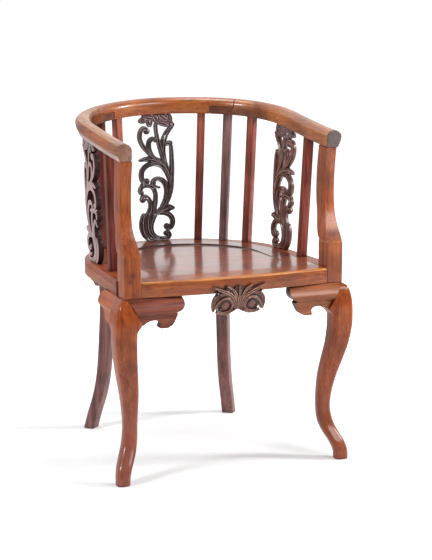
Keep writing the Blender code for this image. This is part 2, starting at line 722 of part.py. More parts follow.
def round_edge():
    """The seat's soft top edge, out from its face: half as deep as it is wide."""
    points = []
    for turn in (0, 30, 60, 90):
        angle = math.radians(turn)
        points.append((SEAT_EDGE_ROUND * (math.cos(angle) - 1.0),
                       SEAT_HEIGHT - SEAT_EDGE_ROUND / 2 * (1.0 - math.sin(angle))))
    return points


def rim_tenon(clearance):
    """Stub tenon of the right-hand rim in the back of the corner block."""
    middle = Vector(((BLOCK_INNER + SEAT_RADIUS) / 2, BLOCK_BACK, SEAT_MIDDLE))
    half = Vector((RIM_TENON_WIDTH / 2, STUB_TENON, STUB_TENON_THICK / 2))
    return grown_block(middle - half, middle + half, clearance)


def rim_tongue(clearance):
    """Loose tongue inside the right-hand rim joint."""
    width, length, thick = RIM_TONGUE
    angle = math.radians(RIM_JOINT_ANGLE)
    turn = Matrix.Rotation(angle, 4, "Z")
    middle = Vector((SEAT_RADIUS - RIM_WIDTH / 2, 0.0, LEG_TOP + SEAT_THICK / 3))
    half = Vector((width / 2, length / 2, thick / 2))
    return place(grown_block(middle - half, middle + half, clearance), turn)


def front_rail_tenon(clearance):
    """Stub tenon of the front rail in the inner side of the right-hand block."""
    middle = Vector((BLOCK_INNER, (BLOCK_FRONT + BLOCK_BACK) / 2, SEAT_MIDDLE))
    half = Vector((STUB_TENON, FRONT_TENON_WIDTH / 2, STUB_TENON_THICK / 2))
    return grown_block(middle - half, middle + half, clearance)


def brace_tenon(clearance):
    """Stub tenon of the cross brace in the right-hand rim."""
    half = BRACE_WIDTH / 2 - BRACE_SHOULDER
    low = (LEDGE_INNER - STUB_TENON, BRACE_POSITION - half, LEG_TOP + BRACE_SHOULDER)
    high = (LEDGE_INNER + STUB_TENON, BRACE_POSITION + half, LEDGE_HEIGHT - BRACE_SHOULDER)
    return grown_block(low, high, clearance)


def build_rims(chair, sticks):
    """The horseshoe frame of the seat in three lengths, joined by loose tongues."""
    profile = rim_profile()
    first = RIM_JOINT_ANGLE + RIM_GAP_ANGLE
    turns = angles_between(first, 180.0 - first, RIM_STEP_ANGLE)
    back = chair.piece("seat_rim_back", skin([rim_ring(turn, profile) for turn in turns]), CHESTNUT)
    back_cuts = list(sticks)
    for sign, side in SIDES:
        turns = [RIM_END_ANGLE] + angles_between(0.0, RIM_JOINT_ANGLE, RIM_STEP_ANGLE)
        body = skin([rim_ring(turn, profile) for turn in turns])
        rim = chair.piece("seat_rim_" + side, mirrored(body, sign), CHESTNUT)
        chair.shape(rim, "UNION", [chair.tool("rim_tenon_" + side, mirrored(rim_tenon(0.0), sign))])
        chair.piece("rim_tongue_" + side, mirrored(rim_tongue(0.0), sign), UMBER)
        slot = chair.tool("rim_tongue_slot_" + side, mirrored(rim_tongue(FIT), sign))
        notch = chair.tool("brace_mortise_" + side, mirrored(brace_tenon(FIT), sign))
        hole = chair.tool("side_dowel_rim_hole_" + side, mirrored(bracket_dowel(side_axes(), FIT), sign))
        chair.shape(rim, "DIFFERENCE", [slot, notch, hole] + list(sticks))
        socket = chair.tool("rear_leg_mortise_" + side, mirrored(rear_leg_tenon(FIT), sign))
        back_cuts += [slot, socket]
    chair.shape(back, "DIFFERENCE", back_cuts)


def bowed_front(x):
    """Face of the front rail in Y, bowed forward in the middle."""
    return BLOCK_FRONT - FRONT_BOW * (1.0 - (x / BLOCK_INNER) ** 2)


def front_rail_ring(x):
    """Section of the front rail."""
    face = bowed_front(x)
    points = [(face + SEAT_EDGE_EASE, LEG_TOP), (face, LEG_TOP + SEAT_EDGE_EASE)]
    points += [(face - out, height) for out, height in round_edge()]
    points += [(BLOCK_BACK, SEAT_HEIGHT), (BLOCK_BACK, LEG_TOP)]
    return [Vector((x, y, z)) for y, z in points]


def build_front_rail(chair):
    """Bowed front rail with a ledge for the panel and stub tenons in the blocks."""
    end = BLOCK_INNER - FIT
    rings = [front_rail_ring(end * i / 6) for i in range(-6, 7)]
    rail = chair.piece("seat_front_rail", skin(rings), HONEY)
    ledge = block((FIT - LEDGE_INNER, BLOCK_BACK - LEDGE, LEG_TOP + SEAT_EDGE_EASE),
                  (LEDGE_INNER - FIT, BLOCK_BACK + LEDGE, LEDGE_HEIGHT))
    added = [chair.tool("front_rail_ledge", ledge)]
    holes = []
    for sign, side in SIDES:
        added.append(chair.tool("front_rail_tenon_" + side, mirrored(front_rail_tenon(0.0), sign)))
        holes.append(chair.tool("apron_rail_hole_" + side, mirrored(apron_dowel(FIT), sign)))
        hole = mirrored(bracket_dowel(front_axes(), FIT), sign)
        holes.append(chair.tool("front_dowel_rail_hole_" + side, hole))
    chair.shape(rail, "UNION", added)
    chair.shape(rail, "DIFFERENCE", holes)


def horseshoe(radius, front):
    """Plan outline with a half-round back, faceted like the rim, and sides that end at a line in front."""
    side = angles_between(0.0, RIM_JOINT_ANGLE, RIM_STEP_ANGLE)
    back = angles_between(RIM_JOINT_ANGLE, 180.0 - RIM_JOINT_ANGLE, RIM_STEP_ANGLE)
    turns = side[:-1] + back + [180.0 - turn for turn in reversed(side[:-1])]
    arc = [(radius * math.cos(math.radians(turn)), radius * math.sin(math.radians(turn))) for turn in turns]
    return [(radius, front)] + arc + [(-radius, front)]


def build_panel(chair):
    """Seat panel in the frame's rebate, dished from nothing at the front to full depth at the back."""
    outline = level(horseshoe(RIM_INNER - FIT, BLOCK_BACK + FIT), LEDGE_HEIGHT + FIT)
    panel = chair.piece("seat_panel", prism(outline, Vector((0.0, 0.0, PANEL_THICK - FIT))), RUSSET)
    outline = level(horseshoe(DISH_RADIUS, -DISH_RUN_OUT), SEAT_HEIGHT)
    floor_slope = DISH_DEPTH / (DISH_RUN_OUT + DISH_RADIUS)
    for point in outline:
        point.z -= floor_slope * (point.y + DISH_RUN_OUT) - FIT
    dish = chair.tool("panel_dish", prism(outline, Vector((0.0, 0.0, PANEL_THICK))))
    chair.shape(panel, "DIFFERENCE", [dish])
    low = (FIT - LEDGE_INNER, BRACE_POSITION - BRACE_WIDTH / 2, LEG_TOP + BRACE_SHOULDER / 2)
    high = (LEDGE_INNER - FIT, BRACE_POSITION + BRACE_WIDTH / 2, LEDGE_HEIGHT)
    brace = chair.piece("seat_brace", block(low, high), UMBER)
    chair.shape(brace, "UNION", [chair.tool("brace_tenon_" + side, mirrored(brace_tenon(0.0), sign))
                                 for sign, side in SIDES])


# Legs

def front_leg_stations():
    """Height, centre in X and Y, and size of the cabriole leg's square section."""
    stretch = LEG_TOP / LEG_DESIGN_HEIGHT
    return [(height * stretch, BLOCK_OUTER + out, BLOCK_FRONT + behind, size)
            for height, out, behind, size in FRONT_LEG_STATIONS]


def front_leg_tenon(clearance):
    """Tenon of the right-hand front leg in the corner block."""
    width, depth, rise = FRONT_LEG_TENON
    outer = BLOCK_OUTER - SHOULDER_BACK
    front = BLOCK_FRONT + SHOULDER_BACK + SEAT_EDGE_EASE
    low = (outer - width, front, LEG_TOP - rise)
    high = (outer, front + depth, LEG_TOP + rise)
    return grown_block(low, high, clearance)


def knee_rings():
    """Sections from the knee up to the block, swelling out and flaring in to meet the brackets."""
    knee_height, x, y, size = front_leg_stations()[-1]
    swell_out = x + size / 2 - BLOCK_OUTER
    swell_front = BLOCK_FRONT - (y - size / 2)
    rings = []
    for share in (0.2, 0.4, 0.6, 0.8, 1.0):
        height = knee_height + (LEG_TOP - knee_height) * share
        swell = math.sqrt(1.0 - share ** 2.4)
        inward = ease(share * 4)
        inner = x - size / 2 + (BLOCK_INNER - x + size / 2) * inward
        back = y + size / 2 + (BLOCK_BACK - y - size / 2) * inward
        low = (inner, BLOCK_FRONT - swell_front * swell)
        high = (BLOCK_OUTER + swell_out * swell, back)
        radius = SEAT_EDGE_EASE + (FRONT_LEG_CORNER - SEAT_EDGE_EASE) * swell
        rings.append(level(rounded_rectangle(low, high, radius), height))
    return rings


def shoulder_cutter(axes):
    """What a bracket's mitred shoulder takes out of the leg, in a bracket's axes."""
    slope = (MITRE_FOOT - MITRE_TOP) / MITRE_DROP
    reach = BRACKET_LENGTH
    deeper = MITRE_DROP * 1.25
    above = MITRE_DROP / 4
    outline = [(MITRE_TOP + slope * deeper, -deeper), (MITRE_TOP - slope * above, above),
               (reach, above), (reach, -deeper)]
    points = [Vector((s, -SHOULDER_BACK, z)) for s, z in outline]
    return place(prism(points, Vector((0.0, SHOULDER_BACK + 4 * BAND_SWELL, 0.0))), axes)


def build_front_legs(chair):
    """Cabriole legs, cut back on two sides for the brackets and tenoned into the corner blocks."""
    rings = []
    for height, x, y, size in front_leg_stations():
        half = size / 2
        section = rounded_rectangle((x - half, y - half), (x + half, y + half), FRONT_LEG_CORNER)
        rings.append(level(section, height))
    rings += knee_rings()
    for sign, side in SIDES:
        leg = chair.piece("front_leg_" + side, mirrored(skin(rings), sign), CHESTNUT)
        shoulders = [chair.tool("shoulder_{}_{}".format(word, side), mirrored(shoulder_cutter(axes), sign))
                     for word, axes in (("front", front_axes()), ("side", side_axes()))]
        chair.shape(leg, "DIFFERENCE", shoulders)
        tenon = chair.tool("front_leg_tenon_" + side, mirrored(front_leg_tenon(0.0), sign))
        chair.shape(leg, "UNION", [tenon])


def rear_axes():
    """Axes of the right-hand rear leg: along the seat's edge, out of it, and up from its underside."""
    angle = math.radians(REAR_LEG_ANGLE)
    outward = Vector((math.cos(angle), math.sin(angle), 0.0))
    along = Vector((-outward.y, outward.x, 0.0))
    axes = Matrix((along, outward, Vector((0.0, 0.0, 1.0)))).transposed().to_4x4()
    return Matrix.Translation(outward * SEAT_RADIUS + Vector((0.0, 0.0, LEG_TOP))) @ axes


def rear_leg_stations():
    """Height, centre beyond the seat's edge and depth of the sabre leg's section."""
    stretch = LEG_TOP / LEG_DESIGN_HEIGHT
    stations = [(height * stretch, out, depth) for height, out, depth in REAR_LEG_STATIONS]
    return stations + [(LEG_TOP - FIT, -REAR_TOP_SETBACK, REAR_TOP_DEPTH)]


def rear_leg_tenon(clearance):
    """Tenon of the right-hand rear leg in the back rim."""
    width, depth, rise = REAR_LEG_TENON
    middle = Vector((0.0, -REAR_TOP_SETBACK, 0.0))
    half = Vector((width / 2, depth / 2, rise))
    return place(grown_block(middle - half, middle + half, clearance), rear_axes())


def build_rear_legs(chair):
    """Sabre legs that sweep out and back from under the seat's round back."""
    half = REAR_LEG_WIDTH / 2
    for sign, side in SIDES:
        rings = []
        for height, out, depth in rear_leg_stations():
            section = rounded_rectangle((-half, out - depth / 2), (half, out + depth / 2), REAR_LEG_CORNER)
            rings.append(level(section, height - LEG_TOP))
        leg = chair.piece("rear_leg_" + side, mirrored(place(skin(rings), rear_axes()), sign), UMBER)
        tenon = chair.tool("rear_leg_tenon_" + side, mirrored(rear_leg_tenon(0.0), sign))
        chair.shape(leg, "UNION", [tenon])


# Brackets

def front_axes():
    """Axes of the right-hand front bracket: along it from the corner, out of its face, and up."""
    axes = Matrix(((-1.0, 0.0, 0.0), (0.0, -1.0, 0.0), (0.0, 0.0, 1.0))).to_4x4()
    return Matrix.Translation((BLOCK_OUTER, BLOCK_FRONT, LEG_TOP)) @ axes


def side_axes():
    """Axes of the right-hand side bracket: along it from the corner, out of its face, and up."""
    axes = Matrix(((0.0, 1.0, 0.0), (1.0, 0.0, 0.0), (0.0, 0.0, 1.0))).to_4x4()
    return Matrix.Translation((BLOCK_OUTER, BLOCK_FRONT, LEG_TOP)) @ axes


def moulding(start, end, back, drop):
    """Bar with the brackets' section: a swelling band over a flat face."""
    points = [(-back, -FIT), (0.0, -FIT)]
    for share in (0.15, 0.35, 0.6, 0.8, 0.94):
        swell = math.sin(math.pi * min(share / 1.2, 0.62)) ** 0.8
        points.append((BAND_SWELL * swell, -BAND_HEIGHT * share))
    points += [(BRACKET_FACE, -BAND_HEIGHT), (BRACKET_FACE, -drop), (-back, -drop)]
    return prism([Vector((start, out, z)) for out, z in points], Vector((end - start, 0.0, 0.0)))


def bracket_outline():
    """Front view of a bracket: mitre at the leg, ogee end, and the scroll hook below the band."""
    slope = (MITRE_FOOT - MITRE_TOP) / MITRE_DROP
    gap = 2 * FIT
    length, drop = BRACKET_LENGTH, HOOK_DROP
    mitre = [(MITRE_FOOT + gap, -MITRE_DROP), (MITRE_TOP + gap + slope * FIT, 0.0)]
    ogee = smooth_curve([(length, 0.0), (length - 0.003, -0.012), (length - 0.011, -0.023),
                         (length - 0.019, -BAND_HEIGHT)], 2)
    hook = smooth_curve([(length - 0.014, -BAND_HEIGHT - 0.004), (length - 0.018, -0.7 * drop),
                         (length - 0.026, -0.9 * drop), (length - 0.037, -drop)], 2)
    lip = [(length - 0.055, -drop), (length - 0.0565, -0.97 * drop)]
    hollow = smooth_curve([(length - 0.054, -0.83 * drop), (length - 0.060, -0.745 * drop),
                           (length - 0.072, -0.72 * drop), (length - 0.086, -0.77 * drop)], 2)
    return mitre + [tuple(p) for p in ogee] + [tuple(p) for p in hook] + lip + [tuple(p) for p in hollow]


def corner_mitre(axes):
    """What a bracket gives up where it meets its neighbour on the diagonal of the corner."""
    far = BRACKET_LENGTH
    outline = [(-far, far + FIT), (far, FIT - far), (-far, -far)]
    points = [Vector((s, out, -2 * HOOK_DROP)) for s, out in outline]
    return place(prism(points, Vector((0.0, 0.0, 3 * HOOK_DROP))), axes)


def bracket_dowel(axes, clearance):
    """Dowel that holds a bracket up to the seat frame."""
    radius, length = BRACKET_DOWEL
    out = -SHOULDER_BACK / 2
    reach = length / 2 + clearance
    body = dowel((BRACKET_DOWEL_PLACE, out, -reach), (BRACKET_DOWEL_PLACE, out, reach), radius + clearance)
    return place(body, axes)


def build_brackets(chair):
    """Moulded scroll brackets on two sides of each front leg, each held by a dowel."""
    for sign, side in SIDES:
        for word, axes in (("front", front_axes()), ("side", side_axes())):
            name = "{}_bracket_{}".format(word, side)
            outline = [Vector((s, FIT - SHOULDER_BACK, z)) for s, z in bracket_outline()]
            body = prism(outline, Vector((0.0, SHOULDER_BACK + 2 * BAND_SWELL, 0.0)))
            bracket = chair.piece(name, mirrored(place(body, axes), sign), CHESTNUT)
            bar = moulding(-BAND_SWELL, BRACKET_LENGTH + BAND_SWELL, 2 * SHOULDER_BACK, 2 * HOOK_DROP)
            bar = chair.tool(name + "_moulding", mirrored(place(bar, axes), sign))
            chair.shape(bracket, "INTERSECT", [bar])
            pin = mirrored(bracket_dowel(axes, 0.0), sign)
            chair.piece("bracket_dowel_{}_{}".format(word, side), pin, UMBER)
            hole = chair.tool(name + "_dowel_hole", mirrored(bracket_dowel(axes, FIT), sign))
            corner = chair.tool(name + "_corner", mirrored(corner_mitre(axes), sign))
            chair.shape(bracket, "DIFFERENCE", [hole, corner])


def build_rear_ears(chair):
    """Small moulded ears on both sides of each rear leg, under the seat."""
    start = REAR_LEG_WIDTH / 2 + FIT
    end = start + REAR_EAR_LENGTH
    top, drop = -FIT, REAR_EAR_DROP
    curve = smooth_curve([(end, top), (end - 0.003, -0.55 * drop), (end - 0.010, -0.92 * drop),
                          (end - 0.022, -drop)], 2)
    axes = rear_axes() @ Matrix.Translation((0.0, -REAR_EAR_SETBACK, 0.0))
    for sign, side in SIDES:
        for word, way in (("inner", 1.0), ("outer", -1.0)):
            name = "rear_ear_{}_{}".format(word, side)
            outline = [(start, top)] + [tuple(p) for p in curve] + [(start, -drop)]
            points = [Vector((way * s, -SHOULDER_BACK, z)) for s, z in outline]
            body = place(prism(points, Vector((0.0, SHOULDER_BACK + 2 * BAND_SWELL, 0.0))), axes)
            ear = chair.piece(name, mirrored(body, sign), UMBER)
            bar = place(moulding(-2 * end, 2 * end, 2 * SHOULDER_BACK, 2 * drop), axes)
            chair.shape(ear, "INTERSECT", [chair.tool(name + "_moulding", mirrored(bar, sign))])


# Carved drop on the front rail

def apron_outline():
    """Right half of the carved drop, in X and up from the seat's underside: lobe, drooping leaf, fan."""
    wide, drop, rise = APRON_HALF_WIDTH, APRON_DROP, APRON_RISE
    lobe = smooth_curve([(0.0, -0.80 * drop), (0.22 * wide, -0.95 * drop), (0.48 * wide, -drop),
                         (0.74 * wide, -0.86 * drop), (0.84 * wide, -0.66 * drop)], 2)
    leaf = smooth_curve([(0.96 * wide, -0.90 * drop), (wide, -0.60 * drop), (0.94 * wide, -0.30 * drop),
                         (0.78 * wide, -0.02 * drop)], 2)
    fan = [(0.84 * wide, 0.35 * rise), (1.05 * wide, 0.84 * rise), (1.01 * wide, rise),
           (0.74 * wide, 0.80 * rise), (0.54 * wide, 0.40 * rise), (0.54 * wide, rise),
           (0.42 * wide, 0.94 * rise), (0.22 * wide, 0.45 * rise), (0.13 * wide, 0.85 * rise), (0.0, rise)]
    return [tuple(p) for p in lobe] + [tuple(p) for p in leaf] + fan


def apron_lean():
    """What is cut away in front so that the lobes fall back below the leaves."""
    deep, low = 1.2 * APRON_LEAN, LEG_TOP - 1.2 * APRON_DROP
    outline = [(-APRON_THICK, LEG_TOP), (0.0, LEG_TOP), (deep, low), (-APRON_THICK, low)]
    points = [Vector((-2 * APRON_HALF_WIDTH, APRON_FRONT + out, z)) for out, z in outline]
    return prism(points, Vector((4 * APRON_HALF_WIDTH, 0.0, 0.0)))


def apron_dowel(clearance):
    """One of the dowels that hold the carved drop to the rail."""
    radius, length = APRON_DOWEL
    height = LEG_TOP + APRON_RISE * 0.3
    start = APRON_BACK - length / 4 - clearance
    end = start + length + 2 * clearance
    return dowel((APRON_DOWEL_SPREAD, start, height), (APRON_DOWEL_SPREAD, end, height), radius + clearance)


def build_apron(chair):
    """Carved drop: it lies on the rail's face, tucks under the rail and is dowelled to it."""
    right = apron_outline()
    left = [(-x, z) for x, z in right[-2:0:-1]]
    outline = [Vector((x, APRON_FRONT, LEG_TOP + z)) for x, z in right + left]
    body = prism(outline, Vector((0.0, APRON_THICK + APRON_TUCK, 0.0)))
    carving = chair.piece("apron_carving", body, UMBER)
    rebate = block((-2 * APRON_HALF_WIDTH, APRON_BACK, LEG_TOP - FIT),
                   (2 * APRON_HALF_WIDTH, APRON_BACK + 2 * APRON_TUCK, SEAT_HEIGHT))
    cuts = [chair.tool("apron_rebate", rebate), chair.tool("apron_front_cut", apron_lean())]
    for sign, side in SIDES:
        chair.piece("apron_dowel_" + side, mirrored(apron_dowel(0.0), sign), UMBER)
        cuts.append(chair.tool("apron_hole_" + side, mirrored(apron_dowel(FIT), sign)))
    chair.shape(carving, "DIFFERENCE", cuts)


def main():
    """Builds the whole chair."""
    for item in list(bpy.data.objects):
        bpy.data.objects.remove(item)
    chair = Chair()
    past_end = RAIL_ARM_ANGLE - RAIL_STEP_ANGLE
    rail_room = chair.tool("rail_room", lap_cutter(past_end, 180.0 - past_end, -FIT, RAIL_HEIGHT))
    sticks = build_spindles(chair) + build_splats(chair, rail_room)
    build_rail(chair, sticks)
    build_posts(chair, rail_room)
    build_rims(chair, sticks)
    build_front_rail(chair)
    build_panel(chair)
    build_front_legs(chair)
    build_rear_legs(chair)
    build_brackets(chair)
    build_rear_ears(chair)
    build_apron(chair)


main()
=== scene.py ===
"""Dressed model of a tub armchair in polished hardwood, on a white studio floor.

Working frame of the builders: metres, Z up, Y towards the back, with the origin below the centre
of the seat's round back. At the end every piece is moved by FOOTPRINT_SHIFT along Y into the row
frame.
"""
import logging
import math
from dataclasses import dataclass, replace
from enum import Enum

import bmesh
import bpy
from bpy.types import Material, Node, NodeSocket, NodeTree, Object
from mathutils import Matrix, Vector


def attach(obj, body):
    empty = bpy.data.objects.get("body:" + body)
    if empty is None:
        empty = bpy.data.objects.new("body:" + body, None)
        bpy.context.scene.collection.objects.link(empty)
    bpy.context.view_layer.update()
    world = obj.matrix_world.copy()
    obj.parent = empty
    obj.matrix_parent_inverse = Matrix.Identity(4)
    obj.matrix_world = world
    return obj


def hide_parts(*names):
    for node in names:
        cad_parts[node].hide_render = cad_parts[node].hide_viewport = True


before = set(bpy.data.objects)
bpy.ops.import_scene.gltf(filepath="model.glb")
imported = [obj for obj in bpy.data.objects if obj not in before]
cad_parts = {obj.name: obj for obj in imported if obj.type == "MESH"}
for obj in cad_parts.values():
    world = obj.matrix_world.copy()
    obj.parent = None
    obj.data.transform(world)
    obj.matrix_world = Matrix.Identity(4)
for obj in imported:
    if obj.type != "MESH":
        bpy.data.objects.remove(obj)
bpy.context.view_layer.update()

LOG = logging.getLogger("armchair")
# from the builders' frame to the row frame, along Y
FOOTPRINT_SHIFT = 0.0094
# clearance between neighbouring pieces
GAP = 0.0003
# distance within which the points of a cut body are joined
WELD = 1e-6
# angle above which a carved edge stays crisp, in degrees
CARVED_SHARP = 60.0
# millimetres in a metre, for the drawings of the carvings
MILLI = 1000
# the left arm's settling: its drop, the heights and then the width over which it comes in
SAG = 0.009
SAG_FOOT = 0.455
SAG_HEIGHT = 0.2675
SAG_START = 0.02
SAG_WIDTH = 0.26
# places of a carved piece's materials, after its main wood
FLOWER = BOARD = 1
RIDGE = 2
# CAD nodes that stay, hidden in the joints and under the seat
INNER_PIECES = ("seat_brace", "rim_tongue", "scarf_pin", "bracket_dowel", "apron_dowel")

BMesh = bmesh.types.BMesh
Plan = tuple[float, float]
Stroke = tuple[tuple[Plan, ...], tuple[float, float, float], float]
Feed = float | tuple[float, ...] | NodeSocket


class Side(Enum):
    """Half of the chair, with the sign of its X."""

    RIGHT = 1.0
    LEFT = -1.0

    @property
    def word(self) -> str:
        """Returns: the word used in the names of pieces."""
        return self.name.lower()


class Grain(Enum):
    """Way the fibres run, as the turn that lays them along the pattern's first axis."""

    ACROSS = (0.0, 0.0, 0.0)
    FORE_AND_AFT = (0.0, 0.0, -math.pi / 2)
    UPRIGHT = (0.0, math.pi / 2, 0.0)


class Operation(Enum):
    """What a cutter does to a body."""

    CUT = "DIFFERENCE"
    KEEP = "INTERSECT"


# Materials


def linear(code: str) -> tuple[float, float, float, float]:
    """Turns an sRGB hex code into a linear colour.

    Args:
        code: the colour as "#RRGGBB".
    Returns:
        Red, green, blue and alpha for a shader.
    """
    channels = [int(code[i:i + 2], 16) / 255 for i in (1, 3, 5)]
    red, green, blue = [c / 12.92 if c <= 0.04045 else ((c + 0.055) / 1.055) ** 2.4
                        for c in channels]
    return red, green, blue, 1.0


def feed(tree: NodeTree, node: Node, inputs: dict) -> None:
    """Sets or links inputs of a node.

    Args:
        tree: the node tree.
        node: the node.
        inputs: socket name or number, with a value or an output socket to link.
    """
    for key, value in inputs.items():
        if isinstance(value, NodeSocket):
            tree.links.new(value, node.inputs[key])
        else:
            node.inputs[key].default_value = value


def add_node(tree: NodeTree, kind: str, inputs: dict | None = None, stops: tuple = (),
             **settings) -> Node:
    """Adds a shader node.

    Args:
        tree: the material's node tree.
        kind: the node's type.
        inputs: socket name or number, with a value or an output socket to link.
        stops: places and colours for a colour ramp.
        settings: the node's own properties.
    Returns:
        The new node.
    """
    node = tree.nodes.new(kind)
    for key, value in settings.items():
        setattr(node, key, value)
    feed(tree, node, inputs or {})
    if stops:
        elements = node.color_ramp.elements
        while len(elements) < len(stops):
            elements.new(1.0)
        for element, (place, colour) in zip(elements, stops):
            element.position = place
            element.color = colour
    return node


def mixed(tree: NodeTree, factor: Feed, under: Feed, over: Feed, kind: str = "RGBA",
          blend: str = "MIX") -> NodeSocket:
    """Mixes two colours or values.

    Args:
        tree: the node tree.
        factor: how much of the second one shows.
        under: the first one.
        over: the second one.
        kind: "RGBA" for colours, "FLOAT" for values.
        blend: the way that colours mix.
    Returns:
        The mixture.
    """
    node = add_node(tree, "ShaderNodeMix", {"Factor": factor, "A": under, "B": over},
                    data_type=kind, blend_type=blend)
    return node.outputs["Result"]


def ranged(tree: NodeTree, value: NodeSocket, source: Plan, target: Plan, **settings) -> NodeSocket:
    """Carries values from one range to another.

    Args:
        tree: the node tree.
        value: the value.
        source: the range that it comes from.
        target: the range that it goes to.
        settings: the node's own properties.
    Returns:
        The carried value.
    """
    limits = {"From Min": source[0], "From Max": source[1],
              "To Min": target[0], "To Max": target[1]}
    return add_node(tree, "ShaderNodeMapRange", {"Value": value} | limits, **settings).outputs[0]


def computed(tree: NodeTree, operation: str, first: Feed, second: Feed) -> NodeSocket:
    """Works out a value from two.

    Args:
        tree: the node tree.
        operation: what is done.
        first: the first value.
        second: the second one.
    Returns:
        The result.
    """
    return add_node(tree, "ShaderNodeMath", {0: first, 1: second}, operation=operation).outputs[0]


def drawn_noise(tree: NodeTree, place: NodeSocket, draw: float, size: float, detail: float,
                roughness: float, distortion: float = 0.0) -> NodeSocket:
    """A noise drawn out along the fibres.

    Args:
        tree: the node tree.
        place: the place, with the fibres along X.
        draw: how much shorter a step along the fibres counts.
        size: size of the pattern across the fibres.
        detail: how many finer patterns lie in it.
        roughness: how strong those are.
        distortion: how much it wavers.
    Returns:
        The noise, from 0 to 1.
    """
    drawn = add_node(tree, "ShaderNodeVectorMath", {0: place, 1: (draw, 1.0, 1.0)},
                     operation="MULTIPLY")
    noise = add_node(tree, "ShaderNodeTexNoise", {
        "Vector": drawn.outputs[0], "Scale": 1 / size, "Detail": detail, "Roughness": roughness,
        "Distortion": distortion})
    return noise.outputs["Fac"]


@dataclass(frozen=True)
class DarkSpot:
    """A dark spot at a place in the row frame; it serves for knots and darker patches, and for
    painted shade and painted reflections.
    """

    place: tuple[float, float, float]
    radius: float
    strength: float


@dataclass(frozen=True)
class WoodFinish:
    """Old hardwood under a polished varnish: long figure, fine pores, and painted shade in the
    corners that also stands for old dirt.
    """

    # how much the figure and the pores are drawn out, and size of the slow change of tone
    FIGURE_DRAW, PORE_DRAW, CLOUD_SIZE = 0.05, 0.035, 0.09
    # heights over which the painted reflection of the white floor fades out
    FOOT_FADE = (0.10, 0.36)

    title: str
    deep: str
    body: str
    light: str
    # colour of the dark spots, knots among them, and of the painted shade in corners
    dirt: str
    figure: float = 0.011
    fibre: float = 0.0022
    roughness: float = 0.36
    gloss: float = 0.35
    coat: float = 0.40
    coat_roughness: float = 0.12
    softness: float = 0.45
    # reach, openness and depth of the painted shade in corners
    dirt_reach: float = 0.010
    dirt_open: float = 0.72
    shade_depth: float = 0.25
    relief: float = 0.10
    # colour of the painted reflection of the white floor, on the lower part of a leg
    foot: str = ""

    def material(self, piece: str, grain: Grain, dark_spots: tuple[DarkSpot, ...] = ()) -> Material:
        """Makes the finish for one piece, with a figure of its own.

        Args:
            piece: the piece's name, which also chooses the part of the pattern.
            grain: the way its fibres run.
            dark_spots: dark spots on it.
        Returns:
            The material.
        """
        wood = bpy.data.materials.new(self.title + "_" + piece)
        wood.use_nodes = True
        tree = wood.node_tree
        seed = sum(ord(letter) * (i + 3) for i, letter in enumerate(piece)) % 97
        place = add_node(tree, "ShaderNodeTexCoord").outputs["Object"]
        turned = add_node(tree, "ShaderNodeMapping", {
            "Vector": place, "Rotation": grain.value,
            "Location": (seed * 0.31, seed * 0.17, seed * 0.23)}).outputs[0]
        # broad light and dark figure, drawn out along the fibres
        figure = drawn_noise(tree, turned, self.FIGURE_DRAW, self.figure, 3.0, 0.55, 0.35)
        tint = add_node(tree, "ShaderNodeValToRGB", {"Fac": figure}, (
            (0.5 - self.softness * 0.6, linear(self.deep)), (0.5, linear(self.body)),
            (0.5 + self.softness * 0.8, linear(self.light))))
        # fine pores, which give the eye the wood's short dark strokes
        fibre = drawn_noise(tree, turned, self.PORE_DRAW, self.fibre, 2.0, 0.5)
        pores = add_node(tree, "ShaderNodeValToRGB", {"Fac": fibre}, (
            (0.36, linear("#8C8484")), (0.56, linear("#FFFFFF"))))
        lined = mixed(tree, 0.5, tint.outputs[0], pores.outputs[0], blend="MULTIPLY")
        # slow change of tone along the piece, from wear and handling
        cloud = drawn_noise(tree, turned, 1.0, self.CLOUD_SIZE, 3.0, 0.55)
        tone = add_node(tree, "ShaderNodeValToRGB", {"Fac": cloud}, (
            (0.34, linear("#BEB2AE")), (0.50, linear("#F4F0EF")), (0.66, linear("#FFFFFF"))))
        last = mixed(tree, 0.85, lined, tone.outputs[0], blend="MULTIPLY")
        if self.foot:
            # painted reflection of the white floor: paler and duller towards it
            height = add_node(tree, "ShaderNodeSeparateXYZ", {"Vector": place}).outputs["Z"]
            low = ranged(tree, height, self.FOOT_FADE, (0.5, 0.0))
            last = mixed(tree, low, last, linear(self.foot))
        for dark_spot in dark_spots:
            # the dark spot's ragged heart
            away = add_node(tree, "ShaderNodeVectorMath", {0: place, 1: dark_spot.place},
                            operation="DISTANCE")
            rag = computed(tree, "MULTIPLY", cloud, dark_spot.radius * 1.5)
            far = computed(tree, "ADD", away.outputs["Value"], rag)
            heart = ranged(tree, far, (dark_spot.radius * 0.9, dark_spot.radius * 1.9), (dark_spot.strength, 0.0))
            last = mixed(tree, heart, last, linear(self.dirt))
        # painted shade in corners, joints and grooves, found by occlusion; it also stands for the
        # old dirt and wax there
        hidden = add_node(tree, "ShaderNodeAmbientOcclusion", {"Distance": self.dirt_reach},
                          samples=6)
        corner = ranged(tree, hidden.outputs["AO"], (self.shade_depth, self.dirt_open), (0.9, 0.0))
        dull = ranged(tree, cloud, (0.3, 0.7), (self.roughness * 0.85, self.roughness * 1.2))
        relief = add_node(tree, "ShaderNodeBump", {"Height": fibre, "Strength": self.relief,
                                                   "Distance": 0.0004})
        feed(tree, tree.nodes["Principled BSDF"], {
            "Base Color": mixed(tree, corner, last, linear(self.dirt)), "Roughness": dull,
            "Normal": relief.outputs[0], "IOR": 1.5, "Specular IOR Level": self.gloss,
            "Coat Weight": self.coat, "Coat Roughness": self.coat_roughness})
        return wood


# Every finish is an old dense hardwood under varnish. Its figure is some 11 mm wide, as the
# photograph shows. Its pores are 0.2 mm wide, too fine to show, so they are drawn about ten times
# coarser.

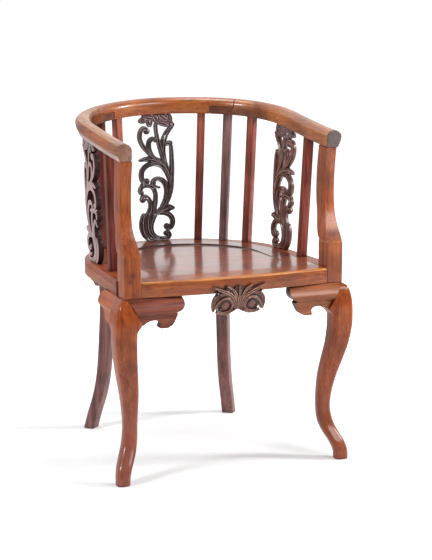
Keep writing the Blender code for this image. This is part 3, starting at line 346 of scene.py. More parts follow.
# crest: clear golden brown, with a soft sheen along its top
HONEY = WoodFinish("honey_hardwood", "#7A380F", "#A2561F", "#BA7234", "#2E140C",
                   coat=0.68, coat_roughness=0.2, softness=0.6)
# seat's front rail: the most orange wood
FRONT_HONEY = WoodFinish("front_rail_hardwood", "#70300A", "#984A12", "#B26628", "#2E140C",
                         coat=0.34, softness=0.6)
# upper edge of that rail and top line of the right post's block: a painted highlight, where these
# edges catch the light
HIGHLIGHT_HONEY = WoodFinish("rubbed_edge_hardwood", "#8E4C1E", "#B8722E", "#CE9050", "#3A1C10",
                          coat=0.6, softness=0.7)
# left arm: the crest's wood, darker with handling and less glossy
DEEP_HONEY = WoodFinish("deep_honey_hardwood", "#763410", "#9A501C", "#AE682E", "#2A120C",
                        gloss=0.18, coat=0.2, softness=0.5)
# lower outer edge of the left arm: pale pink
PALE_PINK_EDGE = WoodFinish("rubbed_arm_edge", "#9C6E62", "#BE9488", "#D2B0A6", "#3A1C14",
                         coat=0.5, softness=0.6)
# top of the left arm: worn by hands, and painted pale as the highlight that falls on it
WORN_HIGHLIT_TOP = WoodFinish("worn_top_hardwood", "#8A5638", "#B07E5C", "#C69A7A", "#2A120C",
                      gloss=0.25, coat=0.4, softness=0.5)
# right arm: worn pale, so that it looks lightest of all
ARM_HONEY = WoodFinish("worn_honey_hardwood", "#8E4A20", "#B26A38", "#C68654", "#2E140C",
                       coat=0.58, softness=0.6)
# laps of the scarfs and inner front edge of the right post: dark
TONGUE = WoodFinish("darkened_lap_hardwood", "#54291A", "#7A4430", "#905C42", "#1C0E0B",
                    softness=0.5)
# back of the seat's rim: warm red brown
CHESTNUT = WoodFinish("chestnut_hardwood", "#6E2C10", "#A65224", "#BC6E38", "#2A1210",
                      gloss=0.3, coat=0.5, softness=0.55)
# right post: light red brown, with a wide soft shine in its hollow
POST_LIGHT = WoodFinish("light_post_hardwood", "#743014", "#A6562E", "#BC7244", "#2A1210",
                        gloss=0.25, coat=0.4, coat_roughness=0.2, softness=0.55)
# left post: deeper red brown, almost without shine
POST_DARK = WoodFinish("dark_post_hardwood", "#64270F", "#984A20", "#AE6430", "#2A1210",
                       gloss=0.2, coat=0.2, softness=0.55)
# right front leg: red brown with sharp glints at the ankle, and a painted reflection of the floor,
# duller towards it
LEG_CHESTNUT = WoodFinish("leg_hardwood", "#66280E", "#9A4A20", "#B06230", "#2A1210",
                          gloss=0.06, coat=0.42, coat_roughness=0.11, softness=0.6, foot="#764438")
# left front leg: the same wood, with a rosier painted reflection of the floor
LEG_ROSE = replace(LEG_CHESTNUT, title="rosy_leg_hardwood", foot="#80524C")
# sides of the seat's rim: matt red brown
RIM_CHESTNUT = WoodFinish("rim_hardwood", "#682A14", "#984A2A", "#AC623C", "#2A1210",
                          gloss=0.1, coat=0.15, softness=0.55)
# right front bracket: brown with a broad silky shine along its roll
BRACKET = WoodFinish("bracket_hardwood", "#602C12", "#924E28", "#AC683C", "#20100E",
                     gloss=0.2, coat=0.5, coat_roughness=0.28, softness=0.5)
# side brackets: the orange brown of the knees beside them
KNEE = WoodFinish("knee_hardwood", "#702E10", "#A65224", "#BC6C38", "#2A1210",
                  gloss=0.12, coat=0.25, coat_roughness=0.2, softness=0.6)
# left front bracket: the same wood painted darker, a dull plum brown, as painted shade, for the
# lamp is on the right
SHADED_BRACKET = WoodFinish("dull_bracket_hardwood", "#54241A", "#824434", "#985A48", "#20100E",
                          gloss=0.15, coat=0.2, coat_roughness=0.2, softness=0.5)
# sawn ends and scroll edges of the brackets: almost black
BLACKENED = WoodFinish("blackened_end_hardwood", "#24140F", "#40241B", "#56352A", "#0E0909",
                       gloss=0.2, coat=0.15)
# spindles on both sides of the back splat, and the third on the right: dark red
RUSSET = WoodFinish("russet_hardwood", "#6A2C1F", "#A25240", "#B86A52", "#221010",
                    coat=0.3, softness=0.38)
# left side spindle, second and third on the left of the back: darker red and dull; on the third on
# the left of the back this stands for the shadow it is in, as painted shade
DARK_RUSSET = WoodFinish("dark_russet_hardwood", "#441C14", "#6C3228", "#82463A", "#1C0E0E",
                         gloss=0.12, coat=0.08, softness=0.38)
# right side spindle: between the two, with little shine
DULL_RUSSET = WoodFinish("dull_russet_hardwood", "#5A251A", "#8A4236", "#A05848", "#1E1010",
                         gloss=0.15, coat=0.14, softness=0.38)
# second spindle on the right of the back: purple brown
PURPLE = WoodFinish("purple_hardwood", "#503634", "#8A6460", "#9E7A74", "#1C1214", softness=0.34)
# seat panel: polished by use until the spindles mirror in it
SEAT_RUSSET = WoodFinish("seat_hardwood", "#702E14", "#924622", "#A45A30", "#1C0C0A",
                         roughness=0.34, gloss=0.5, coat=0.9, relief=0.02)
# rear legs, their ears and inner pieces: dark purple brown
UMBER = WoodFinish("umber_hardwood", "#522E2A", "#7E4E49", "#92645D", "#1E1214",
                   coat=0.28, softness=0.4)
# carved pieces have a finer figure, and painted shade that keeps close in their grooves
FINE = {"figure": 0.008, "dirt_reach": 0.004}
# back splat: nearly black brown with painted grey glints on every ridge
CARVED = WoodFinish("dark_carved_hardwood", "#3A2E32", "#544549", "#6E5E62", "#140D0F",
                    roughness=0.32, gloss=0.5, coat=0.9, coat_roughness=0.14, softness=0.3,
                    dirt_open=0.95, shade_depth=0.45, **FINE)
# right splat: dark red brown with softer painted glints on its ridges
CARVED_RED = WoodFinish("red_carved_hardwood", "#3C201A", "#603830", "#7C5046", "#140B0B",
                        roughness=0.34, gloss=0.4, coat=0.6, coat_roughness=0.18, softness=0.3,
                        dirt_open=0.95, shade_depth=0.45, **FINE)
# left splat's plain outer face: pale pinkish brown, painted paler for the lamp light and sheen on
# it, with black gaps
CARVED_PALE = WoodFinish("pale_carved_hardwood", "#8E6866", "#B08A88", "#C4A6A4", "#120A0A",
                         roughness=0.34, gloss=0.4, coat=0.6, coat_roughness=0.18, softness=0.4,
                         **FINE)
# sawn edges and inner side of the left splat: painted shade, almost black
SHADED_EDGE = WoodFinish("sawn_edge_hardwood", "#221718", "#3A2828", "#523C3A", "#0E0909",
                       gloss=0.1, coat=0.04, **FINE)
# ridges of the back splat: painted light grey glints
GLINT_GREY = WoodFinish("rubbed_grey_ridge", "#86767A", "#A89A9C", "#C0B2B2", "#241819",
                         roughness=0.34, coat=0.7, coat_roughness=0.16, **FINE)
# ridges of the right splat: painted pale red glints
GLINT_RED = WoodFinish("rubbed_red_ridge", "#8A5E52", "#B08274", "#CAA092", "#241614",
                        roughness=0.34, coat=0.5, coat_roughness=0.18, **FINE)
# ridges of the carved drop: pinkish tan
PALE_TAN_RIDGE = WoodFinish("rubbed_tan_ridge", "#8C5A44", "#B48268", "#CCA088", "#2A1610",
                        roughness=0.34, coat=0.5, coat_roughness=0.16, **FINE)
# flowers of the splats: worn to a greyish brown
PETAL = WoodFinish("worn_flower_hardwood", "#54484A", "#785658", "#8C7A78", "#1C1213", figure=0.012,
                   gloss=0.5, coat=0.7, coat_roughness=0.16, softness=0.35, dirt_reach=0.005,
                   dirt_open=0.9)
# leaves of the carved drop, below their pale ridges: dark red brown
LEAF = WoodFinish("leaf_carved_hardwood", "#4E261E", "#723C2E", "#8A5242", "#180C0A", figure=0.007,
                  roughness=0.34, coat=0.6, coat_roughness=0.16, softness=0.5, dirt_reach=0.006,
                  dirt_open=0.95)
# ground between carved leaves and the lip of the seat's dish: a dark line of painted shade in the
# recess and on the step, with some old wax
SHADED_GROUND = WoodFinish("carved_ground_hardwood", "#241210", "#3A1C14", "#4E2A1C", "#120908",
                    figure=0.007, coat_roughness=0.18, dirt_reach=0.006, dirt_open=0.95)
# end of the right arm: grey end grain
END_GRAIN = WoodFinish("grey_end_grain", "#463C3A", "#60524E", "#726460", "#241614", figure=0.006,
                       roughness=0.5, coat=0.3, coat_roughness=0.25, softness=1.0)
# end of the left arm: brown end grain
WORN_END = WoodFinish("brown_end_grain", "#74523F", "#966E58", "#AA846C", "#2A1814", figure=0.006,
                      roughness=0.5, coat=0.2, coat_roughness=0.25, softness=1.0)


# Bodies


def smooth_curve(points: list[Plan] | tuple, steps: int) -> list[Vector]:
    """A smooth curve through points.

    Args:
        points: the points it passes, of any dimension.
        steps: how many stretches lie between two of them.
    Returns:
        The curve's points, from the first to the last.
    """
    fixed = [Vector(p) for p in points]
    ends = [2 * fixed[0] - fixed[1]] + fixed + [2 * fixed[-1] - fixed[-2]]
    curve = []
    for before, start, end, after in zip(ends, ends[1:], ends[2:], ends[3:]):
        for i in range(steps):
            t = i / steps
            bend = (2 * before - 5 * start + 4 * end - after) * t * t
            bend += (3 * start - before - 3 * end + after) * t * t * t
            curve.append(start + ((end - before) * t + bend) / 2)
    curve.append(fixed[-1])
    return curve


def traced(points: list[Plan], steps: int) -> list[Plan]:
    """A smooth curve through plan points, for an outline.

    Args:
        points: the points it passes.
        steps: how many stretches lie between two of them.
    Returns:
        The curve's points.
    """
    return [tuple(point) for point in smooth_curve(points, steps)]


def ease(value: float) -> float:
    """A smooth step.

    Args:
        value: the place between 0 and 1.
    Returns:
        The eased place.
    """
    value = min(max(value, 0.0), 1.0)
    return value * value * (3 - 2 * value)


def angles_between(first: float, last: float, step: float) -> list[float]:
    """Evenly spread angles.

    Args:
        first: the first angle, in degrees.
        last: the last one.
        step: the widest spacing.
    Returns:
        The angles, both ends included.
    """
    count = max(1, math.ceil(abs(last - first) / step))
    return [first + (last - first) * i / count for i in range(count + 1)]


def rounded_rectangle(low: Plan, high: Plan, radius: float, steps: int = 5) -> list[Plan]:
    """A rectangle in plan with round corners.

    Args:
        low: its lower corner.
        high: its upper corner.
        radius: the corners' radius.
        steps: stretches in each corner.
    Returns:
        The outline, anticlockwise.
    """
    left, right = low[0] + radius, high[0] - radius
    front, back = low[1] + radius, high[1] - radius
    outline = []
    corners = ((right, back, 0), (left, back, 90), (left, front, 180), (right, front, 270))
    for cx, cy, start in corners:
        for i in range(steps + 1):
            angle = math.radians(start + 90 * i / steps)
            outline.append((cx + radius * math.cos(angle), cy + radius * math.sin(angle)))
    return outline


def level(points: list[Plan], height: float) -> list[Vector]:
    """A plan outline at one height.

    Args:
        points: the outline.
        height: its height.
    Returns:
        Points in space.
    """
    return [Vector((x, y, height)) for x, y in points]


def loft(rings: list[list[Vector]], end_round: float = 0.0) -> BMesh:
    """A closed body drawn over rings.

    Args:
        rings: rings of equally many points.
        end_round: radius on the edges of both ends.
    Returns:
        The body.
    """
    bm = bmesh.new()
    loops = []
    for ring in rings:
        corners = [bm.verts.new(point) for point in ring]
        loops.append([bm.edges.new((corners[i - 1], corners[i])) for i in range(len(corners))])
    for lower, upper in zip(loops, loops[1:]):
        bmesh.ops.bridge_loops(bm, edges=lower + upper)
    for loop in (loops[0], loops[-1]):
        bmesh.ops.edgeloop_fill(bm, edges=loop)
    bmesh.ops.recalc_face_normals(bm, faces=bm.faces)
    if end_round:
        bmesh.ops.bevel(bm, geom=loops[0] + loops[-1], offset=end_round, segments=4, profile=0.5,
                        affect="EDGES", clamp_overlap=True, material=-1)
    return bm


def prism(outline: list[Vector], push: Vector) -> BMesh:
    """The body that a flat outline leaves when it is pushed.

    Args:
        outline: the outline's points.
        push: how far it goes.
    Returns:
        The body.
    """
    bm = bmesh.new()
    face = bm.faces.new([bm.verts.new(point) for point in outline])
    grown = bmesh.ops.extrude_face_region(bm, geom=[face])
    moved = [item for item in grown["geom"] if isinstance(item, bmesh.types.BMVert)]
    bmesh.ops.translate(bm, verts=moved, vec=push)
    bmesh.ops.recalc_face_normals(bm, faces=bm.faces)
    return bm


def placed(bm: BMesh, matrix: Matrix) -> BMesh:
    """Carries a body from its own axes into the chair's.

    Args:
        bm: the body.
        matrix: its place.
    Returns:
        The same body.
    """
    bmesh.ops.transform(bm, matrix=matrix, verts=bm.verts)
    return bm


def mirrored(bm: BMesh, side: Side) -> BMesh:
    """Puts a body that was drawn for the right-hand side on the given side.

    Args:
        bm: the body.
        side: where it goes.
    Returns:
        The same body, facing outwards.
    """
    bmesh.ops.scale(bm, vec=(side.value, 1.0, 1.0), verts=bm.verts)
    bmesh.ops.recalc_face_normals(bm, faces=bm.faces)
    return bm


def holder(bm: BMesh, name: str) -> Object:
    """Makes an object of a body and frees the body.

    Args:
        bm: the body.
        name: the object's name.
    Returns:
        The object, in the scene.
    """
    mesh = bpy.data.meshes.new(name)
    bm.to_mesh(mesh)
    bm.free()
    item = bpy.data.objects.new(name, mesh)
    bpy.context.scene.collection.objects.link(item)
    return item


def shaped(bm: BMesh, cutters: list[BMesh], operation: Operation) -> BMesh:
    """Works a body with cutters.

    Args:
        bm: the body.
        cutters: what is taken from it, or what it is kept inside.
        operation: which of the two.
    Returns:
        The worked body.
    """
    block = holder(bm, "work")
    tools = [holder(cutter, "cutter") for cutter in cutters]
    for tool in tools:
        step = block.modifiers.new("step", "BOOLEAN")
        step.operation = operation.value
        step.solver = "EXACT"
        step.object = tool
    result = bmesh.new()
    result.from_object(block, bpy.context.evaluated_depsgraph_get())
    for item in [block] + tools:
        mesh = item.data
        bpy.data.objects.remove(item)
        bpy.data.meshes.remove(mesh)
    bmesh.ops.remove_doubles(result, verts=result.verts, dist=WELD)
    bmesh.ops.recalc_face_normals(result, faces=result.faces)
    return result


def settled(point: Vector) -> float:
    """How far the chair's left arm has gone down with age.

    Args:
        point: a place in the working frame.
    Returns:
        The drop, nothing at the seat and at the right-hand side.
    """
    share = min(max((point.z - SAG_FOOT) / SAG_HEIGHT, 0.0), 1.0)
    return SAG * share * ease((SAG_START - point.x) / SAG_WIDTH)


def publish(name: str, bm: BMesh, woods: list[Material], nodes: tuple[str, ...],
            bevel: float = 0.0, sharp: float = 32.0) -> None:
    """Makes a finished piece that stands for CAD nodes.

    Args:
        name: the piece's name.
        bm: its body, in the working frame.
        woods: its materials.
        nodes: the CAD nodes that it replaces.
        bevel: radius of the eased edges.
        sharp: angle above which an edge stays crisp, in degrees.
    """
    for vert in bm.verts:
        vert.co.z -= settled(vert.co)
    bmesh.ops.translate(bm, vec=(0.0, FOOTPRINT_SHIFT, 0.0), verts=bm.verts)
    piece = holder(bm, name)
    for wood in woods:
        piece.data.materials.append(wood)
    piece.data.shade_smooth()
    piece.data.set_sharp_from_angle(angle=math.radians(sharp))
    if bevel:
        eased = piece.modifiers.new("eased_edges", "BEVEL")
        eased.width = bevel
        eased.segments = 3
        eased.limit_method = "ANGLE"
        eased.angle_limit = math.radians(sharp)
        eased.harden_normals = True
    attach(piece, "root")
    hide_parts(*nodes)
    LOG.info("%s: %d faces, in place of %s", name, len(piece.data.polygons), ", ".join(nodes))


# Sub-assemblies


@dataclass
class Rail:
    """Horseshoe rail: crest and two arms with half-lapped scarfs, rising to the back."""

    # places of an arm's materials, after its wood
    END, LAP, FOOT, TOP = 1, 2, 3, 4
    # soft inner edge of the underside, across from its corner and up
    INNER_EDGE = ((0.001, 0.0), (0.0, 0.0006), (-0.0008, 0.003))
    # darker patches on the arms just above the underside: degrees in front of the scarf, and radius
    DARK_PATCHES = ((0.0, 0.042), (10.0, 0.034), (20.0, 0.026))
    # facings of the left arm's pale lower edge and highlit top: outwards, downwards and up
    WORN_OUT, WORN_DOWN, WORN_UP = 0.3, (-0.9, -0.2), 0.78

    half_width: float = 0.2520
    back: float = 0.2455
    centre: float = -0.0005
    end_half_width: float = 0.2505
    reach: float = 0.2342
    underside: float = 0.7225
    rise: float = 0.0460
    rise_start: float = -0.315
    rise_end: float = 0.2495
    inner: float = 0.0175
    outer: float = 0.0195
    height: float = 0.039
    foot: float = 0.027
    foot_ease: float = 0.0015
    rubbed: float = 0.0105
    shoulder: float = 0.024
    scarf_inner: float = 58.5
    scarf_outer: float = 43.5
    open_right: float = 0.0018
    open_left: float = 0.0006
    overrun: float = 12.0
    stick_inset: float = 0.006
    end_round: float = 0.0035
    end_band: float = 0.0022
    patch_rise: float = 0.002
    patch_strength: float = 0.62
    bevel: float = 0.0008
    crown_steps: int = 16
    step: float = 2.5

    @property
    def arm_angle(self) -> float:
        """Returns: the angle that stands for the arm's end."""
        return -math.degrees((self.centre + self.reach) / self.back)

    def plan(self, turn: float) -> Vector:
        """Plan point of the centre line.

        Args:
            turn: the angle; past 0 and 180 degrees the line runs along the arms.
        Returns:
            The point.
        """
        right_turn = min(turn, 180.0 - turn)
        sign = 1.0 if turn <= 90.0 else -1.0
        angle = math.radians(right_turn)
        if right_turn >= 0.0:
            return Vector((sign * self.half_width * math.cos(angle),
                           self.centre + self.back * math.sin(angle)))
        narrowing = (self.end_half_width - self.half_width) * right_turn / self.arm_angle
        return Vector((sign * (self.half_width + narrowing), self.centre + self.back * angle))

    def outward(self, turn: float) -> Vector:
        """Direction out of the chair.

        Args:
            turn: the angle.
        Returns:
            The direction in plan, square to the rail.
        """
        along = self.plan(turn + 0.5) - self.plan(turn - 0.5)
        return Vector((along.y, -along.x)).normalized()

    def base(self, y: float) -> float:
        """Height of the underside.

        Args:
            y: the place in Y.
        Returns:
            The height.
        """
        share = (y - self.rise_start) / (self.rise_end - self.rise_start)
        return self.underside + self.rise * ease(share)

    def turn_at(self, y: float) -> float:
        """Angle at which the right half passes a place.

        Args:
            y: the place in Y.
        Returns:
            The angle in degrees.
        """
        share = (y - self.centre) / self.back
        return math.degrees(math.asin(share)) if share >= 0.0 else math.degrees(share)

    def foot_point(self, turn: float) -> Vector:
        """Where a stick meets the underside.

        Args:
            turn: the angle.
        Returns:
            The point.
        """
        centre = self.plan(turn)
        return Vector((*(centre - self.outward(turn) * self.stick_inset), self.base(centre.y)))

    def profile(self) -> list[Plan]:
        """Returns: the section, across the rail and up from its underside."""
        middle = (self.outer - self.inner) / 2
        half = (self.outer + self.inner) / 2
        crown = self.height - self.shoulder
        foot = self.foot_ease - self.inner
        sole = foot + self.foot
        points = [(foot + across, up) for across, up in self.INNER_EDGE]
        points += [(-self.inner, self.shoulder / 4), (-self.inner, self.shoulder / 2)]
        for i in range(self.crown_steps + 1):
            angle = math.pi * (1 - i / self.crown_steps)
            points.append((middle + half * math.cos(angle),
                           self.shoulder + crown * math.sin(angle)))
        side = [(self.outer, self.shoulder),
                (self.outer - (self.outer - sole) / 4, self.shoulder * 0.6),
                (sole + 0.0022, self.shoulder * 0.22), (sole, 0.0)]
        return points + traced(side, 3)[1:]

    def body(self, first: float, last: float, profile: list[Plan], end_round: float = 0.0) -> BMesh:
        """The rail between two angles.

        Args:
            first: the first angle.
            last: the last one.
            profile: its section.
            end_round: radius on the edges of its ends.
        Returns:
            The body.
        """
        rings = []
        for turn in angles_between(first, last, self.step):
            centre, outward = self.plan(turn), self.outward(turn)
            base = self.base(centre.y)
            rings.append([Vector((*(centre + outward * across), base + up))
                          for across, up in profile])
        return loft(rings, end_round)

    def slab(self, first: float, last: float, low: float, high: float) -> BMesh:
        """A slab round part of the rail, for cutting.

        Args:
            first: the first angle.
            last: the last one.
            low: lower height above the underside.
            high: upper height.
        Returns:
            The body.
        """
        side = self.inner + self.outer
        return self.body(first, last, [(-side, low), (-side, high), (side, high), (side, low)])

    def room(self) -> BMesh:
        """Returns: the space of the rail, for trimming what stands under it."""
        past = self.arm_angle - self.overrun / 2
        return self.slab(past, 180.0 - past, -GAP, self.height)

    def mark_wear(self, arm: BMesh, side: Side) -> None:
        """Gives an arm's end, lap, pale lower outer edge and top their materials; the top is worn
        and painted pale as a highlight.

        Args:
            arm: the arm, drawn for the right-hand side.
            side: the side that it is for.
        """
        least, most = self.WORN_DOWN
        for face in arm.faces:
            spot, normal = face.calc_center_median(), face.normal
            if spot.y < self.end_band - self.reach:
                face.material_index = self.END
            if math.degrees(math.atan2(spot.y - self.centre, spot.x)) > self.scarf_outer - 1.0:
                face.material_index = self.LAP
            if side is Side.RIGHT:
                continue
            low = spot.z - self.base(spot.y) < self.rubbed
            if low and normal.x > self.WORN_OUT and least < normal.z < most:
                face.material_index = self.FOOT
            elif normal.z > self.WORN_UP and face.material_index == 0:
                face.material_index = self.TOP

    def build_arm(self, side: Side, profile: list[Plan]) -> None:
        """Builds one arm, with its scarf a little open with age.

        Args:
            side: the arm's side.
            profile: the rail's section.
        """
        opening = self.open_right if side is Side.RIGHT else self.open_left
        gap = math.degrees(opening / self.back)
        arm = self.body(self.arm_angle, self.scarf_inner - gap, profile, self.end_round)
        above = self.slab(self.scarf_outer - gap, self.scarf_inner + self.overrun,
                          self.height / 2 - opening / 2, 2 * self.height)
        arm = shaped(arm, [above], Operation.CUT)
        self.mark_wear(arm, side)
        patches = []
        for back, size in self.DARK_PATCHES:
            spot = self.plan(self.scarf_outer - back)
            height = self.base(spot.y) + self.patch_rise
            patches.append(DarkSpot((side.value * spot.x, spot.y + FOOTPRINT_SHIFT, height), size,
                               self.patch_strength))
        wood, end = (ARM_HONEY, END_GRAIN) if side is Side.RIGHT else (DEEP_HONEY, WORN_END)
        name, grain = "arm_" + side.word, Grain.FORE_AND_AFT
        woods = [wood.material(name, grain, tuple(patches)), end.material(name + "_end", grain),
                 TONGUE.material(name + "_lap", Grain.ACROSS),
                 PALE_PINK_EDGE.material(name + "_foot", grain),
                 WORN_HIGHLIT_TOP.material(name + "_top", grain)]
        publish(name, mirrored(arm, side), woods, ("rail_arm_" + side.word,), self.bevel)

    def build(self) -> None:
        """Builds the crest and both arms."""
        profile, lap = self.profile(), self.height / 2
        crest = self.body(self.scarf_outer, 180.0 - self.scarf_outer, profile)
        below = self.scarf_outer - self.overrun
        cutters = [mirrored(self.slab(below, self.scarf_inner, -self.height, lap), side)
                   for side in Side]
        crest = shaped(crest, cutters, Operation.CUT)
        wood = HONEY.material("crest", Grain.ACROSS)
        publish("crest", crest, [wood], ("rail_crest",), self.bevel)
        for side in Side:
            self.build_arm(side, profile)


@dataclass
class Seat:
    """Horseshoe seat frame, bowed front rail and dished panel."""

    # place of the second material: the front rail's painted highlight and the painted shade on the
    # lip of the dish
    EDGE = LIP = 1
    # facings, upwards, of the front rail's painted highlight along its upper edge
    EDGE_FACING = (0.15, 0.98)
    # middles of the dark patches at the panel's right-hand edge: painted reflections of the dark
    # right splat and side spindle in the polished seat
    DARK_PATCHES = ((0.2120, -0.0250), (0.2080, -0.0700))

    height: float = 0.455
    thick: float = 0.0355
    radius: float = 0.2540
    side: float = 0.2655
    front: float = 0.2600
    edge_round: float = 0.009
    edge_ease: float = 0.002
    edge_steps: int = 8
    arris: float = 0.0008
    seam: float = 0.0007
    bevel: float = 0.0006
    rim_width: float = 0.0335
    joint_angle: float = 31.5
    ledge: float = 0.012
    panel_thick: float = 0.018
    dish_radius: float = 0.170
    dish_depth: float = 0.004
    dish_run_out: float = 0.165
    dish_lip: float = 0.0035
    lip_front: float = -0.155
    patch_radius: float = 0.030
    patch_strength: float = 0.6
    bow: float = 0.014
    block_inner: float = 0.2245
    block_depth: float = 0.0465
    line_drop: float = 0.0105
    line_depth: float = 0.0011
    line_width: float = 0.0018
    stick_circle: float = 0.2344
    rail_steps: int = 24
    step: float = 3.0
    side_step: float = 8.0

    @property
    def bottom(self) -> float:
        """Returns: the height of the underside."""
        return self.height - self.thick

    @property
    def block_back(self) -> float:
        """Returns: the back of the corner blocks in Y."""
        return self.block_depth - self.front

    @property
    def end_angle(self) -> float:
        """Returns: the angle that stands for the front end of a side rim."""
        return math.degrees((self.block_back + GAP) / self.radius)

    def round_edge(self) -> list[Plan]:
        """Returns: the soft top edge, out from the face and up."""
        points = []
        for i in range(self.edge_steps + 1):
            angle = math.pi / 2 * i / self.edge_steps
            points.append((self.edge_round * (math.cos(angle) - 1.0),
                           self.height - self.edge_round / 2 * (1.0 - math.sin(angle))))
        return points

    def low_edge(self) -> list[Plan]:
        """Returns: the eased bottom edge, out from the face and up."""
        soft = self.edge_ease * 0.3
        return [(-self.edge_ease, self.bottom), (-soft, self.bottom + soft),
                (0.0, self.bottom + self.edge_ease)]

    def outer_face(self) -> list[Plan]:
        """Returns: the rim's outer side from its foot to the top, with the incised line in it."""
        line = self.height - self.line_drop
        half = self.line_width / 2
        groove = [(0.0, line - half), (-self.line_depth, line), (0.0, line + half)]
        return self.low_edge() + groove + self.round_edge()

    def rim(self, turns: list[float]) -> BMesh:
        """A length of the rim.

        Args:
            turns: the angles of its sections.
        Returns:
            The body.
        """
        shelf = self.height - self.panel_thick
        inner = -self.rim_width
        profile = self.outer_face() + [
            (inner + self.seam, self.height), (inner, self.height - self.seam), (inner, shelf),
            (inner - self.ledge, shelf), (inner - self.ledge, self.bottom)]
        rings = []
        for turn in turns:
            angle = math.radians(turn)
            if 0.0 <= turn <= 180.0:
                outward = Vector((math.cos(angle), math.sin(angle)))
                rings.append([Vector((*(outward * (self.radius + out)), up))
                              for out, up in profile])
                continue
            flare = (self.side - self.radius) * turn / self.end_angle
            rings.append([Vector((self.radius + out + (flare if out > inner + 0.001 else 0.0),
                                  self.radius * angle, up)) for out, up in profile])
        return loft(rings)

    def build_rims(self) -> None:
        """Builds the back rim and the two side rims."""
        gap = math.degrees(GAP * 1.5 / (self.radius - self.rim_width))
        first = self.joint_angle + gap
        back = self.rim(angles_between(first, 180.0 - first, self.step))
        wood = CHESTNUT.material("rim_back", Grain.ACROSS)
        publish("rim_back", back, [wood], ("seat_rim_back",), self.bevel)
        turns = angles_between(self.end_angle, 0.0, self.side_step)[:-1]
        turns += angles_between(0.0, self.joint_angle, self.step)
        for side in Side:
            name = "rim_" + side.word
            wood = RIM_CHESTNUT.material(name, Grain.FORE_AND_AFT)
            publish(name, mirrored(self.rim(turns), side), [wood], ("seat_rim_" + side.word,),
                    self.bevel)

    def build_front_rail(self) -> None:
        """Builds the bowed front rail, with a painted highlight along its upper edge."""
        rings = []
        end = self.block_inner - GAP
        side = self.low_edge() + self.round_edge()
        back = [(self.block_back - self.arris, self.height),
                (self.block_back, self.height - self.arris), (self.block_back, self.bottom)]
        for i in range(-self.rail_steps, self.rail_steps + 1):
            x = end * i / self.rail_steps
            face = -self.front - self.bow * (1.0 - (x / self.block_inner) ** 2)
            points = [(face - out, up) for out, up in side] + back
            rings.append([Vector((x, y, z)) for y, z in points])
        rail = loft(rings)
        least, most = self.EDGE_FACING
        for face in rail.faces:
            upper = face.calc_center_median().z > self.bottom + self.thick / 2
            if upper and least < face.normal.z < most:
                face.material_index = self.EDGE
        woods = [FRONT_HONEY.material("front_rail", Grain.ACROSS),
                 HIGHLIGHT_HONEY.material("front_edge", Grain.ACROSS)]
        publish("front_rail", rail, woods, ("seat_front_rail",), self.bevel)

    def horseshoe(self, radius: float, front: float) -> list[Plan]:
        """Plan outline with a round back.

        Args:
            radius: the back's radius and half the width.
            front: where the sides end in Y.
        Returns:
            The outline, from the right-hand front corner round to the left one.
        """
        arc = [(radius * math.cos(math.radians(turn)), radius * math.sin(math.radians(turn)))
               for turn in angles_between(0.0, 180.0, self.step)]
        return [(radius, front)] + arc + [(-radius, front)]

    def build_panel(self) -> None:
        """Builds the panel, dished from nothing at the front to full depth at the back."""
        radius = self.radius - self.rim_width - GAP
        front = self.block_back + GAP
        shelf = self.height - self.panel_thick + GAP
        slope = self.dish_depth / (self.dish_run_out + self.dish_radius)
        edge = self.horseshoe(radius, front)
        border = self.horseshoe(self.dish_radius + self.arris, -self.dish_run_out - self.arris)
        rings = [level(edge, shelf), level(edge, self.height - self.seam),
                 level(self.horseshoe(radius - self.seam, front + self.seam), self.height),
                 level(border, self.height)]
        for inset, share in ((0.0, 0.12), (self.dish_lip * 0.45, 0.7), (self.dish_lip, 1.0)):
            outline = self.horseshoe(self.dish_radius - inset, inset - self.dish_run_out)
            ring = level(outline, self.height)
            for point in ring:
                point.z -= slope * (point.y + self.dish_run_out) * share
            rings.append(ring)
        panel = loft(rings)
        # the lip of the dish takes painted shade, as its step would throw
        for face in panel.faces:
            spot = face.calc_center_median()
            reach = math.hypot(spot.x, max(spot.y, 0.0))
            if abs(reach - self.dish_radius) < 1.2 * self.dish_lip and spot.y > self.lip_front:
                face.material_index = self.LIP
        # painted reflections of the right splat and side spindle, as dark patches
        patches = tuple(DarkSpot((x, y, self.height), self.patch_radius, self.patch_strength)
                       for x, y in self.DARK_PATCHES)
        woods = [SEAT_RUSSET.material("seat_board", Grain.ACROSS, patches),
                 SHADED_GROUND.material("seat_lip", Grain.ACROSS)]
        publish("seat_board", panel, woods, ("seat_panel",), sharp=2.5)


